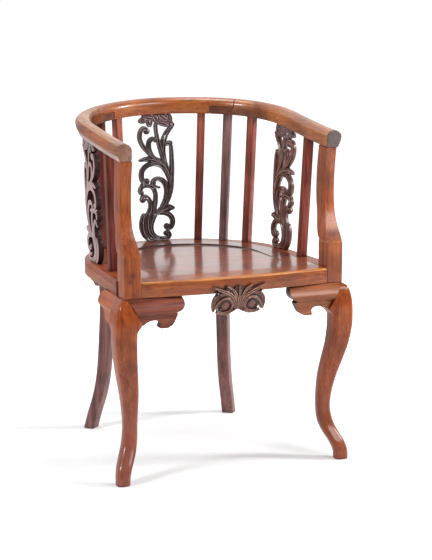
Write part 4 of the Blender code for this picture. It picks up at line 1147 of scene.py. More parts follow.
@dataclass
class Posts:
    """Arm posts that grow out of the corner blocks and sweep back to the rail's ends."""

    # places of the right post's materials, after its wood
    LINE, EDGE = 1, 2
    # rings in the block, up from the seat
    BLOCK_RINGS = (-0.01, 0.03)
    # how the front face sweeps back, and how soon the post is slim
    SWEEP_POWER, SLIM_RATE = 2.2, 1.6
    # facing, inwards and to the front, of the right post's dark edge
    EDGE_FACING = -0.3
    # knots on the left post; in the right one's sweep a wide painted shade, the dark reflection on
    # the lower slope of the hollow
    KNOTS_AND_SHADE = {
        Side.LEFT: (DarkSpot((-0.2440, -0.2510, 0.4720), 0.0105, 0.6),
                    DarkSpot((-0.2490, -0.2500, 0.4570), 0.0080, 0.6),
                    DarkSpot((-0.2430, -0.2290, 0.5330), 0.0060, 0.5),
                    DarkSpot((-0.2410, -0.2510, 0.4270), 0.008, 0.5)),
        Side.RIGHT: (DarkSpot((0.2450, -0.2400, 0.5290), 0.0240, 0.55),),
    }

    seat: Seat
    rail: Rail
    block_outer: float = 0.2628
    block_rise: float = 0.059
    inner: float = 0.2322
    width: float = 0.026
    depth: float = 0.042
    hollow: float = 0.037
    hollow_height: float = 0.625
    corner: float = 0.0020
    block_corner: float = 0.0014
    end_round: float = 0.0012
    quirk: float = 0.0009
    worn: float = 0.0024
    sweep_steps: int = 14
    bow_steps: int = 10

    @property
    def block_top(self) -> float:
        """Returns: the height where the block ends and the sweep begins."""
        return self.seat.height + self.block_rise

    def face(self, height: float) -> float:
        """Where the front face stands.

        Args:
            height: the height.
        Returns:
            Its place in Y.
        """
        front = -self.seat.front
        sweep = (height - self.block_top) / (self.hollow_height - self.block_top)
        if sweep <= 1.0:
            return front + self.hollow * (1.0 - (1.0 - max(sweep, 0.0)) ** self.SWEEP_POWER)
        top = self.rail.base(-self.rail.reach)
        bow = min((height - self.hollow_height) / (top - self.hollow_height), 1.0)
        return front + self.hollow + (-self.rail.reach - front - self.hollow) * bow * bow

    def ring(self, height: float, cut: float = 0.0) -> list[Vector]:
        """A level section of the right-hand post.

        Args:
            height: its height.
            cut: how far it is cut in all round.
        Returns:
            The section's points.
        """
        sweep = (height - self.block_top) / (self.hollow_height - self.block_top)
        slim = ease(sweep * self.SLIM_RATE)
        block_inner, block_depth = self.seat.block_inner, self.seat.block_depth
        inner = block_inner + (self.inner - block_inner) * slim
        outer = self.block_outer + (self.inner + self.width - self.block_outer) * slim
        front = self.face(height)
        back = front + block_depth + (self.depth - block_depth) * slim
        radius = self.block_corner + (self.corner - self.block_corner) * slim
        low, high = (inner + cut, front + cut), (outer - cut, back - cut)
        return level(rounded_rectangle(low, high, radius), height)

    def heights(self) -> list[float]:
        """Returns: the heights of a post's sections, from the seat's underside into the rail."""
        top = self.rail.base(2 * self.depth - self.rail.reach)
        sweep, bow = self.hollow_height - self.block_top, top - self.hollow_height
        heights = [self.seat.bottom + GAP] + [self.seat.height + up for up in self.BLOCK_RINGS]
        heights += [self.block_top - self.worn, self.block_top - self.quirk]
        heights += [self.block_top + sweep * i / self.sweep_steps
                    for i in range(self.sweep_steps + 1)]
        return heights + [self.hollow_height + bow * i / self.bow_steps
                          for i in range(1, self.bow_steps + 1)]

    def mark_wear(self, post: BMesh) -> None:
        """Gives the right post's painted highlight line and dark inner front edge their materials.

        Args:
            post: the right post.
        """
        for face in post.faces:
            if self.block_top - self.worn < face.calc_center_median().z < self.block_top:
                face.material_index = self.LINE
            elif max(face.normal.x, face.normal.y) < self.EDGE_FACING:
                face.material_index = self.EDGE

    def build(self) -> None:
        """Builds both posts, with a fine line cut round the block's top."""
        for side in Side:
            rings = [self.ring(height, self.quirk if height == self.block_top else 0.0)
                     for height in self.heights()]
            body = shaped(loft(rings, self.end_round), [self.rail.room()], Operation.CUT)
            if side is Side.RIGHT:
                self.mark_wear(body)
            name = "post_" + side.word
            finish = POST_LIGHT if side is Side.RIGHT else POST_DARK
            woods = [finish.material(name, Grain.UPRIGHT, self.KNOTS_AND_SHADE[side]),
                     HIGHLIGHT_HONEY.material(name + "_line", Grain.UPRIGHT),
                     TONGUE.material(name + "_edge", Grain.UPRIGHT)]
            publish(name, mirrored(body, side), woods, ("arm_post_" + side.word,))


@dataclass
class Spindles:
    """Square spindles between the seat and the rail."""

    # spindles finished unlike the rest; the third on the left of the back is darkened as painted
    # shade
    FINISHES = {"spindle_back_right_2": PURPLE, "spindle_side_left": DARK_RUSSET,
                "spindle_back_left_2": DARK_RUSSET, "spindle_back_left_3": DARK_RUSSET,
                "spindle_side_right": DULL_RUSSET}
    # sections, as shares of the length, a little past both ends
    SECTIONS = (-0.01, 0.25, 0.5, 0.75, 1.01)

    seat: Seat
    rail: Rail
    size: float = 0.019
    first_angle: float = 25.2
    step_angle: float = 15.7
    fan_angle: float = 1.3
    side_base: float = -0.1048
    side_top: float = -0.114
    corner: float = 0.0016
    grime_rise: float = 0.004
    grime_foot: float = 0.018
    grime_head: float = 0.024
    grime_strength: float = 0.7

    def places(self) -> list[tuple[str, Vector, Vector, Vector]]:
        """Returns: name pattern, foot, head and facing of each spindle on the right-hand side."""
        places = []
        for number in range(3):
            turn = 90.0 - self.first_angle - self.step_angle * number
            angle = math.radians(turn)
            facing = Vector((math.cos(angle), math.sin(angle), 0.0))
            foot = facing * self.seat.stick_circle + Vector((0.0, 0.0, self.seat.height))
            head = self.rail.foot_point(turn - self.fan_angle)
            places.append(("spindle_back_{}_" + str(number + 1), foot, head, facing))
        foot = Vector((self.seat.stick_circle, self.side_base, self.seat.height))
        head = self.rail.foot_point(self.rail.turn_at(self.side_top))
        places.append(("spindle_side_{}", foot, head, Vector((1.0, 0.0, 0.0))))
        return places

    def grime(self, foot: Vector, head: Vector, side: Side) -> tuple[DarkSpot, ...]:
        """Darker spots round both ends of a spindle.

        Args:
            foot: its foot.
            head: its head.
            side: its side.
        Returns:
            The dark spots.
        """
        spots = []
        for end, up, reach in ((foot, -self.grime_rise, self.grime_foot),
                               (head, self.grime_rise, self.grime_head)):
            place = (side.value * end.x, end.y + FOOTPRINT_SHIFT, end.z + up)
            spots.append(DarkSpot(place, reach, self.grime_strength))
        return tuple(spots)

    def build(self) -> None:
        """Builds all eight spindles with softened edges."""
        half = self.size / 2
        section = rounded_rectangle((-half, -half), (half, half), self.corner, 3)
        for side in Side:
            for pattern, foot, head, facing in self.places():
                axis = (head - foot).normalized()
                outward = (facing - axis * facing.dot(axis)).normalized()
                across = axis.cross(outward)
                rings = []
                for share in self.SECTIONS:
                    middle = foot + (head - foot) * share
                    rings.append([middle + across * a + outward * b for a, b in section])
                node = pattern.format(side.word)
                finish = self.FINISHES.get(node, RUSSET)
                wood = finish.material(node, Grain.UPRIGHT, self.grime(foot, head, side))
                publish("dressed_" + node, mirrored(loft(rings), side), [wood], (node,))


@dataclass
class Carving:
    """Carved strokes: each follows a smooth curve, domed on both faces.

    A stroke has a groove along its middle, or two if it is wide. A sawn one is flat, with edges
    darkened as painted shade.
    """

    # where one groove starts to turn into two, and over how much width
    WIDE, WIDER = 0.011, 0.004
    # width below which a groove grows shallow
    NARROW = 0.009
    # reach of the single groove, place and reach of the pair, as shares of the width
    MIDDLE, PAIR, PAIR_REACH = 0.13, 0.19, 0.09
    # thickness left at a stroke's edge and at its tips
    EDGE, THIN = 0.30, 0.55
    # length of the rounding at a tip, in widths, and least square of its width
    BLUNT, TIP = 0.35, 0.12

    thick: float = 0.015
    steps: int = 6
    samples: int = 14
    groove: float = 0.46
    ridge: float = 0.87
    dome: float = 3.2
    sawn: bool = False

    def section(self, width: float, thick: float) -> list[Plan]:
        """Cross-section of a stroke.

        Args:
            width: its width there.
            thick: its thickness there.
        Returns:
            Points to the side and in depth.
        """
        wide = ease((width - self.WIDE) / self.WIDER)
        depth = self.groove * min(width / self.NARROW, 1.0)
        face = []
        for i in range(self.samples + 1):
            across = i / self.samples - 0.5
            dome = math.sqrt(max(1.0 - abs(2 * across) ** self.dome, 0.0))
            middle = math.exp(-(across / self.MIDDLE) ** 2)
            pair = math.exp(-((abs(across) - self.PAIR) / self.PAIR_REACH) ** 2)
            cut = depth * (middle + (pair - middle) * wide)
            height = self.EDGE + (1.0 - self.EDGE) * dome - cut
            face.append((across * width, -height * thick / 2))
        return face + [(a, -d) for a, d in reversed(face)]

    def stroke(self, points: list[Plan], widths: tuple[float, float, float], thick: float) -> BMesh:
        """One stroke in its own plane.

        Args:
            points: the curve, in metres across and up.
            widths: width at its start, middle and end, in millimetres.
            thick: its thickness.
        Returns:
            The body, across in X, depth in Y and up in Z.
        """
        path = smooth_curve(points, self.steps)
        lengths = [0.0]
        for before, after in zip(path, path[1:]):
            lengths.append(lengths[-1] + (after - before).length)
        total = lengths[-1]
        first, middle, last = [width / MILLI for width in widths]
        lift = 2 * middle - (first + last) / 2
        rings = []
        for i, point in enumerate(path):
            along = (path[min(i + 1, len(path) - 1)] - path[max(i - 1, 0)]).normalized()
            across = Vector((-along.y, along.x))
            share = lengths[i] / total
            width = first * (1 - share) ** 2 + 2 * lift * share * (1 - share) + last * share * share
            near = min(lengths[i], total - lengths[i]) / (width * self.BLUNT)
            full = math.sqrt(max(1.0 - (1.0 - min(near, 1.0)) ** 2, self.TIP))
            ring = []
            for a, d in self.section(width * full, thick * (self.THIN + (1.0 - self.THIN) * full)):
                spot = point + across * a
                ring.append(Vector((spot.x, d, spot.y)))
            rings.append(ring)
        body = loft(rings)
        for face in body.faces:
            if abs(face.calc_center_median().y) > self.ridge * thick / 2:
                face.material_index = RIDGE
        return body

    def knob(self, point: Plan, radius: float, thick: float) -> BMesh:
        """The round eye of a scroll.

        Args:
            point: its middle, across and up.
            radius: its radius in the plane.
            thick: its thickness.
        Returns:
            The body.
        """
        bm = bmesh.new()
        bmesh.ops.create_uvsphere(bm, u_segments=14, v_segments=8, radius=1.0)
        bmesh.ops.scale(bm, vec=(radius, thick / 2, radius), verts=bm.verts)
        bmesh.ops.translate(bm, vec=(point[0], 0.0, point[1]), verts=bm.verts)
        return bm

    @staticmethod
    def joined(parts: list[BMesh]) -> BMesh:
        """Puts several bodies in one.

        Args:
            parts: the bodies, which are freed.
        Returns:
            One body.
        """
        whole = bmesh.new()
        for part in parts:
            mesh = bpy.data.meshes.new("part")
            part.to_mesh(mesh)
            part.free()
            whole.from_mesh(mesh)
            bpy.data.meshes.remove(mesh)
        return whole


@dataclass
class Splats:
    """Three pierced splats, carved with scrolls, leaves and a flower."""

    # wood of each splat and of its second part: painted glints on the ridges, on the left splat
    # painted shade on the sawn edges
    FINISHES = {"back": (CARVED, GLINT_GREY), "left": (CARVED_PALE, SHADED_EDGE),
                "right": (CARVED_RED, GLINT_RED)}
    # heights in the drawing, in millimetres: all of it, and the flower's foot
    DRAWN_HEIGHT, FLOWER_FOOT = 308.0, 284
    # faces of a sawn splat that look less than this outwards are its edges and its inner side
    SAWN_FACING = 0.55

    seat: Seat
    rail: Rail
    carving: Carving
    plain: Carving
    side_base: float = 0.0125
    side_top: float = 0.0120
    side_turn: float = 2.5
    head_room: float = 0.005
    span: float = 0.060

    def strokes(self) -> tuple[Stroke, ...]:
        """Returns: points and three widths in millimetres, and share of the thickness."""
        return (
            # foot: three ridges of the broad leaf, its turned-up end and the ring above it
            (((-33, 70), (-38, 54), (-39, 36), (-34, 18), (-24, 6), (-12, 2)), (11, 17, 8), 0.90),
            (((-22, 73), (-25, 54), (-26, 36), (-20, 18), (-8, 7), (6, 3)), (14, 16, 10), 1.0),
            (((-4, 70), (-12, 54), (-17, 37), (-14, 20), (-3, 9), (12, 5), (28, 5)),
             (15, 14, 8), 0.92),
            (((12, 4), (26, 5), (32, 12), (28, 19), (22, 18)), (9, 12, 11), 0.94),
            (((-16, 68), (2, 69), (20, 68), (35, 60), (41, 47), (38, 34), (30, 29), (24, 34)),
             (12, 14, 12), 0.94),
            # main stem and the straight stem above it, with a leaf at its foot
            (((-2, 68), (14, 80), (27, 98), (35, 118), (39, 140), (40, 165)), (12, 13, 11), 0.96),
            (((39, 140), (40.5, 170), (40, 205), (38.5, 238)), (11, 12, 9), 0.9),
            (((2, 72), (18, 76), (32, 80), (47, 79)), (14, 22, 5), 1.0),
            # long leaf and the large scroll under it
            (((-46, 200), (-33, 203), (-17, 203), (0, 198), (14, 189), (26, 174), (34, 154),
              (38, 130)), (7, 19, 9), 1.0),
            (((36, 136), (31, 158), (21, 177), (6, 188), (-12, 191), (-28, 186), (-38, 175),
              (-40, 161), (-36, 149), (-27, 147)), (8, 13, 13), 0.92),
            # small scroll and the scrolls on the lower left
            (((10, 80), (21, 98), (26, 118), (24, 135), (16, 148), (3, 153), (-8, 150), (-11, 142),
              (-4, 135), (9, 131)), (9, 14, 6), 0.9),
            (((-40, 118), (-44, 126), (-39, 135), (-26, 138), (-11, 132), (-4, 117), (-4, 98),
              (-7, 82), (-9, 66)), (12, 12, 13), 0.94),
            (((-40, 100), (-37, 110), (-28, 110), (-20, 101), (-16, 88), (-18, 76), (-23, 62)),
             (12, 13, 17), 0.97),
            # stems that fan out to the flower
            (((16, 187), (-4, 204), (-22, 220), (-36, 237), (-43, 254), (-42, 270), (-35, 279),
              (-26, 276), (-24, 270)), (9, 12, 12), 0.92),
            (((-8, 207), (-18, 224), (-20, 242), (-13, 252), (-2, 251)), (9, 13, 11), 0.88),
            (((31, 170), (21, 194), (12, 218), (5, 244), (0, 268), (-2, 292)), (12, 11, 10), 0.86),
            (((30, 172), (20, 198), (16, 222), (18, 243), (24, 260), (33, 273), (44, 283)),
             (10, 16, 10), 0.92),
            (((20, 238), (32, 240), (42, 240)), (10, 13, 13), 0.88),
        )

    def petals(self) -> tuple[Stroke, ...]:
        """Returns: the flower's petals, given like the strokes."""
        return (
            (((-46, 295), (-38, 298), (-25, 300)), (9, 16, 13), 0.88),
            (((-38, 307), (-24, 306), (-8, 304)), (11, 16, 14), 0.92),
            (((-17, 281), (-18, 291), (-15, 303)), (7, 17, 13), 1.0),
            (((-8, 311), (0, 303), (3, 290)), (16, 22, 12), 0.96),
            (((6, 312), (18, 305), (29, 296)), (14, 20, 14), 0.9),
            (((31, 312), (34, 303), (37, 290)), (11, 16, 12), 0.94),
            (((2, 294), (17, 290), (33, 284)), (11, 17, 11), 1.0),
            (((34, 291), (41, 287), (46, 282)), (10, 13, 8), 0.9),
        )

    def eyes(self) -> tuple[tuple[float, float, float], ...]:
        """Returns: middle and radius of the round eyes in the scrolls, in millimetres."""
        return ((22, 17, 6.5), (25, 34, 8.5), (-26, 149, 8), (-38, 138, 7), (-41, 122, 7.5),
                (-37, 104, 9), (-25, 272, 8.5), (-3, 250, 7.5), (-7, 144, 5.5), (33, 240, 6))

    def places(self) -> list[tuple[str, Vector, Vector, Vector, float]]:
        """Returns: name, foot, head, direction across and rake of the rail above each splat."""
        top, circle = self.rail.foot_point(90.0), self.seat.stick_circle
        foot, across = Vector((0.0, circle, self.seat.height)), Vector((1.0, 0.0, 0.0))
        places = [("back", foot, top, across, 0.0)]
        head = self.rail.foot_point(self.rail.turn_at(self.side_top))
        climb = self.rail.base(head.y + self.span / 2) - self.rail.base(head.y - self.span / 2)
        rake = climb / self.span / (head.z - self.seat.height)
        turn = math.radians(self.side_turn)
        for side in Side:
            foot = Vector((side.value * circle, self.side_base, self.seat.height))
            across = Vector((-side.value * math.sin(turn), math.cos(turn), 0.0))
            end = Vector((side.value * head.x, head.y, head.z))
            places.append((side.word, foot, end, across, rake))
        return places

    def body(self, foot: Vector, head: Vector, across: Vector, rake: float, tool: Carving) -> BMesh:
        """The carved board between foot and head.

        Args:
            foot: where it stands.
            head: where it ends under the rail.
            across: the direction across it.
            rake: how the rail above it slopes.
            tool: the way its strokes are cut.
        Returns:
            The body.
        """
        line = head - foot
        upright = line - across * line.dot(across)
        up = upright.normalized()
        lean = line.dot(across) / upright.length
        axes = Matrix((across, up.cross(across), up)).transposed().to_4x4()
        rise = (upright.length - self.head_room) / self.DRAWN_HEIGHT
        parts = []
        for points, widths, share in self.strokes() + self.petals():
            curve = [(u / MILLI, v * rise) for u, v in points]
            parts.append(tool.stroke(curve, widths, tool.thick * share))
        for u, v, radius in self.eyes():
            parts.append(tool.knob((u / MILLI, v * rise), radius / MILLI, tool.thick))
        whole = tool.joined(parts)
        for face in whole.faces:
            if face.calc_center_median().z > self.FLOWER_FOOT * rise:
                face.material_index = FLOWER
            if tool.sawn and face.normal.y < self.SAWN_FACING:
                face.material_index = RIDGE
        for vert in whole.verts:
            u, v = vert.co.x, vert.co.z
            height = max(min(v, upright.length - GAP), GAP) * (1.0 + rake * u)
            vert.co.x = u + lean * height
            vert.co.z = height
        return placed(whole, Matrix.Translation(foot) @ axes)

    def build(self) -> None:
        """Builds the back splat and the two side splats."""
        for word, foot, head, across, rake in self.places():
            finish, rubbed = self.FINISHES[word]
            name = "carved_splat_" + word
            tool = self.plain if word == "left" else self.carving
            body = self.body(foot, head, across, rake, tool)
            woods = [finish.material(name, Grain.UPRIGHT),
                     PETAL.material(name + "_flower", Grain.UPRIGHT),
                     rubbed.material(name + "_ridges", Grain.UPRIGHT)]
            publish(name, body, woods, ("splat_" + word,), sharp=CARVED_SHARP)


@dataclass
class Legs:
    """Cabriole front legs and sabre rear legs."""

    # knots on the left front leg
    LEFT_KNOTS = (DarkSpot((-0.2390, -0.2630, 0.3780), 0.007, 0.5),
                  DarkSpot((-0.2480, -0.2600, 0.3200), 0.006, 0.45))

    # how the knee's swelling ends at the block, and how soon the leg is as wide as the block
    SWELL_POWER, INWARD_RATE = 2.4, 4

    seat: Seat
    posts: Posts
    corner: float = 0.0110
    rear_angle: float = 49.4
    rear_width: float = 0.030
    rear_corner: float = 0.004
    rear_top_setback: float = 0.0165
    rear_top_depth: float = 0.032
    foot_round: float = 0.0025
    knee_steps: int = 12

    def front_stations(self) -> tuple[tuple[float, float, float, float], ...]:
        """Returns: height, middle in X and Y and size of the section, from floor to knee."""
        return (
            (0.0, 0.2686, -0.2522, 0.0305), (0.020, 0.2677, -0.2510, 0.0315),
            (0.040, 0.2617, -0.2439, 0.0335), (0.060, 0.2520, -0.2325, 0.0345),
            (0.080, 0.2442, -0.2229, 0.0335), (0.100, 0.2401, -0.2180, 0.0325),
            (0.125, 0.2385, -0.2161, 0.0315), (0.160, 0.2396, -0.2190, 0.0345),
            (0.200, 0.2438, -0.2265, 0.0395), (0.240, 0.2511, -0.2366, 0.0440),
            (0.280, 0.2580, -0.2465, 0.0470), (0.320, 0.2617, -0.2517, 0.0495),
            (0.345, 0.2617, -0.2530, 0.0500))

    def rear_stations(self) -> tuple[tuple[float, float, float], ...]:
        """Returns: height, place out from the seat's edge and depth, from the floor up."""
        return (
            (0.0, 0.0311, 0.027), (0.040, 0.0194, 0.027), (0.080, 0.0058, 0.0275),
            (0.120, -0.0042, 0.028), (0.160, -0.0099, 0.028), (0.200, -0.0134, 0.0285),
            (0.250, -0.0170, 0.029), (0.300, -0.0194, 0.029), (0.345, -0.0200, 0.030),
            (0.375, -0.0195, 0.031), (0.400, -0.0180, 0.032),
            (self.seat.bottom - GAP, -self.rear_top_setback, self.rear_top_depth))

    def knee_rings(self) -> list[list[Vector]]:
        """Returns: sections from the knee up to the block."""
        knee, x, y, size = self.front_stations()[-1]
        front, back_line = -self.seat.front, self.seat.block_back
        swell_out = x + size / 2 - self.posts.block_outer
        swell_front = front - (y - size / 2)
        rings = []
        for i in range(1, self.knee_steps + 1):
            share = i / self.knee_steps
            height = knee + (self.seat.bottom - GAP - knee) * share
            swell = math.sqrt(1.0 - share ** self.SWELL_POWER)
            inward = ease(share * self.INWARD_RATE)
            inner = x - size / 2 + (self.seat.block_inner - x + size / 2) * inward
            back = y + size / 2 + (back_line - y - size / 2) * inward
            low = (inner, front - swell_front * swell)
            high = (self.posts.block_outer + swell_out * swell, back)
            radius = self.seat.edge_ease + (self.corner - self.seat.edge_ease) * swell
            rings.append(level(rounded_rectangle(low, high, radius), height))
        return rings

    def front_body(self) -> BMesh:
        """Returns: the right-hand front leg before it is cut for the brackets."""
        rings = []
        for height, x, y, size in smooth_curve(self.front_stations(), 4):
            half = size / 2
            low, high = (x - half, y - half), (x + half, y + half)
            rings.append(level(rounded_rectangle(low, high, self.corner), height))
        return loft(rings + self.knee_rings(), self.foot_round)

    def rear_axes(self) -> Matrix:
        """Returns: axes of the right-hand rear leg, along the seat's edge, out of it and up."""
        angle = math.radians(self.rear_angle)
        outward = Vector((math.cos(angle), math.sin(angle), 0.0))
        along = Vector((-outward.y, outward.x, 0.0))
        axes = Matrix((along, outward, Vector((0.0, 0.0, 1.0)))).transposed().to_4x4()
        origin = outward * self.seat.radius + Vector((0.0, 0.0, self.seat.bottom))
        return Matrix.Translation(origin) @ axes

    def rear_body(self) -> BMesh:
        """Returns: the right-hand rear leg."""
        half = self.rear_width / 2
        rings = []
        for height, out, depth in smooth_curve(self.rear_stations(), 3):
            low, high = (-half, out - depth / 2), (half, out + depth / 2)
            section = rounded_rectangle(low, high, self.rear_corner, 4)
            rings.append(level(section, height - self.seat.bottom))
        return placed(loft(rings, self.foot_round), self.rear_axes())

    def build(self, brackets: "Brackets") -> None:
        """Builds the four legs.

        Args:
            brackets: the brackets, which say where the front legs are cut back.
        """
        for side in Side:
            shoulders = [brackets.shoulder(axes)
                         for axes in (brackets.front_axes(), brackets.side_axes())]
            leg = mirrored(shaped(self.front_body(), shoulders, Operation.CUT), side)
            finish, dark_spots = LEG_CHESTNUT, ()
            if side is Side.LEFT:
                finish, dark_spots = LEG_ROSE, self.LEFT_KNOTS
            name = "cabriole_" + side.word
            wood = finish.material(name, Grain.UPRIGHT, dark_spots)
            publish(name, leg, [wood], ("front_leg_" + side.word,), sharp=40.0)
            name = "sabre_" + side.word
            wood = UMBER.material(name, Grain.UPRIGHT)
            leg = mirrored(self.rear_body(), side)
            publish(name, leg, [wood], ("rear_leg_" + side.word,))


@dataclass
class Brackets:
    """Moulded scroll brackets beside the front legs, and small ears beside the rear ones."""

    # place of the material of the sawn ends and edges, after the wood
    END = 1

    seat: Seat
    posts: Posts
    length: float = 0.135
    band: float = 0.035
    swell: float = 0.0175
    face: float = 0.008
    drop: float = 0.0685
    mitre_top: float = 0.0045
    mitre_foot: float = 0.038
    mitre_drop: float = 0.0595
    shoulder_back: float = 0.014
    joint: float = 0.0009
    ear_length: float = 0.040
    ear_drop: float = 0.052
    ear_setback: float = 0.020
    scroll_length: float = 0.062
    end_facing: float = 0.35
    bevel: float = 0.0009

    @property
    def slope(self) -> float:
        """Returns: the mitre's run for each unit of its drop."""
        return (self.mitre_foot - self.mitre_top) / self.mitre_drop

    def axes(self, along: Vector, out: Vector) -> Matrix:
        """Axes at the corner of the right-hand block.

        Args:
            along: the way the bracket runs.
            out: the way that it faces.
        Returns:
            The matrix, with Z up from the seat's underside.
        """
        turn = Matrix((along, out, Vector((0.0, 0.0, 1.0)))).transposed().to_4x4()
        origin = (self.posts.block_outer, -self.seat.front, self.seat.bottom)
        return Matrix.Translation(origin) @ turn

    def front_axes(self) -> Matrix:
        """Returns: axes of the right-hand front bracket."""
        return self.axes(Vector((-1.0, 0.0, 0.0)), Vector((0.0, -1.0, 0.0)))

    def side_axes(self) -> Matrix:
        """Returns: axes of the right-hand side bracket."""
        return self.axes(Vector((0.0, 1.0, 0.0)), Vector((1.0, 0.0, 0.0)))

    def shoulder(self, axes: Matrix) -> BMesh:
        """What a bracket takes out of the leg.

        Args:
            axes: the bracket's axes.
        Returns:
            The cutter.
        """
        deeper, above = self.mitre_drop * 1.25, self.mitre_drop / 4
        outline = [(self.mitre_top + self.slope * deeper, -deeper),
                   (self.mitre_top - self.slope * above, above),
                   (self.length, above), (self.length, -deeper)]
        points = [Vector((s, -self.shoulder_back, z)) for s, z in outline]
        return placed(prism(points, Vector((0.0, self.shoulder_back + 4 * self.swell, 0.0))), axes)

    def moulding(self, start: float, end: float, drop: float) -> BMesh:
        """Bar with the brackets' section: a swelling band over a flat face.

        Args:
            start: where it starts.
            end: where it ends.
            drop: how far it reaches down.
        Returns:
            The body.
        """
        back = 2 * self.shoulder_back
        full, face, band = self.swell, self.face, self.band
        roll = [(0.0, -GAP), (0.37 * full, -0.17 * band), (0.66 * full, -0.36 * band),
                (0.86 * full, -0.54 * band), (0.97 * full, -0.70 * band),
                (0.99 * full, -0.80 * band), (0.89 * full, -0.93 * band),
                (0.67 * full, -1.04 * band), (1.08 * face, -1.13 * band), (face, -1.24 * band)]
        points = [(-back, -GAP)] + traced(roll, 3) + [(face, -drop), (-back, -drop)]
        outline = [Vector((start, out, z)) for out, z in points]
        return prism(outline, Vector((end - start, 0.0, 0.0)))

    def outline(self) -> list[Plan]:
        """Returns: front view of a bracket, with its mitre, ogee end and scroll hook."""
        length, drop = self.length, self.drop
        mitre = [(self.mitre_foot + self.joint, -self.mitre_drop),
                 (self.mitre_top + self.joint + self.slope * GAP, 0.0)]
        ogee = traced([(length - 0.003, 0.0), (length, -0.010), (length - 0.001, -0.020),
                       (length - 0.008, -0.029), (length - 0.018, -self.band)], 6)
        hook = traced([(length - 0.014, -self.band - 0.004), (length - 0.018, -0.7 * drop),
                       (length - 0.026, -0.9 * drop), (length - 0.037, -drop)], 6)
        lip = [(length - 0.055, -drop), (length - 0.0565, -0.97 * drop)]
        hollow = traced([(length - 0.054, -0.83 * drop), (length - 0.060, -0.745 * drop),
                         (length - 0.072, -0.72 * drop), (length - 0.086, -0.77 * drop)], 6)
        return mitre + ogee + hook + lip + hollow

    def corner(self, axes: Matrix) -> BMesh:
        """What a bracket gives up to its neighbour on the corner's diagonal.

        Args:
            axes: the bracket's axes.
        Returns:
            The cutter.
        """
        far = self.length
        outline = [(-far, far + GAP), (far, GAP - far), (-far, -far)]
        points = [Vector((s, out, -2 * self.drop)) for s, out in outline]
        return placed(prism(points, Vector((0.0, 0.0, 3 * self.drop))), axes)

    def board(self, outline: list[Plan], back: float, bar: BMesh, axes: Matrix) -> BMesh:
        """A board of a given outline with the brackets' moulding on it.

        Args:
            outline: its outline, along and up.
            back: where its back lies.
            bar: the moulding, which it is kept inside.
            axes: the axes of both.
        Returns:
            The body, in its place.
        """
        points = [Vector((s, back, z)) for s, z in outline]
        push = Vector((0.0, self.shoulder_back + 2 * self.swell, 0.0))
        return shaped(placed(prism(points, push), axes), [placed(bar, axes)], Operation.KEEP)

    def build(self) -> None:
        """Builds the four brackets, with dark sawn edges."""
        for side in Side:
            for word, axes in (("front", self.front_axes()), ("side", self.side_axes())):
                bar = self.moulding(-self.swell, self.length + self.swell, 2 * self.drop)
                body = self.board(self.outline(), GAP - self.shoulder_back, bar, axes)
                body = shaped(body, [self.corner(axes)], Operation.CUT)
                own = axes.inverted()
                for face in body.faces:
                    spot, facing = own @ face.calc_center_median(), own.to_3x3() @ face.normal
                    scroll = spot.x > self.length - self.scroll_length
                    if scroll and abs(facing.y) < self.end_facing:
                        face.material_index = self.END
                node = word + "_bracket_" + side.word
                grain = Grain.ACROSS if word == "front" else Grain.FORE_AND_AFT
                # the left front bracket takes the darker copy, painted shade
                finish = KNEE if word == "side" else BRACKET if side is Side.RIGHT else SHADED_BRACKET
                name = "scroll_" + node
                woods = [finish.material(name, grain), BLACKENED.material("ends_" + node, grain)]
                publish(name, mirrored(body, side), woods, (node,), self.bevel)

    def build_ears(self, legs: Legs) -> None:
        """Builds the ears on both sides of each rear leg.

        Args:
            legs: the legs, which give the ears' place.
        """
        start = legs.rear_width / 2 + GAP
        end, drop = start + self.ear_length, self.ear_drop
        curve = traced([(end, -GAP), (end - 0.003, -0.55 * drop), (end - 0.010, -0.92 * drop),
                        (end - 0.022, -drop)], 5)
        outline = [(start, -GAP)] + curve + [(start, -drop)]
        axes = legs.rear_axes() @ Matrix.Translation((0.0, -self.ear_setback, 0.0))
        for side in Side:
            for word, way in (("inner", 1.0), ("outer", -1.0)):
                bar = self.moulding(-2 * end, 2 * end, 2 * drop)
                turned = [(way * s, z) for s, z in outline]
                body = self.board(turned, -self.shoulder_back, bar, axes)
                name = word + "_" + side.word
                wood = UMBER.material("ear_" + name, Grain.ACROSS)
                publish("ear_" + name, mirrored(body, side), [wood], ("rear_ear_" + name,),
                        self.bevel)


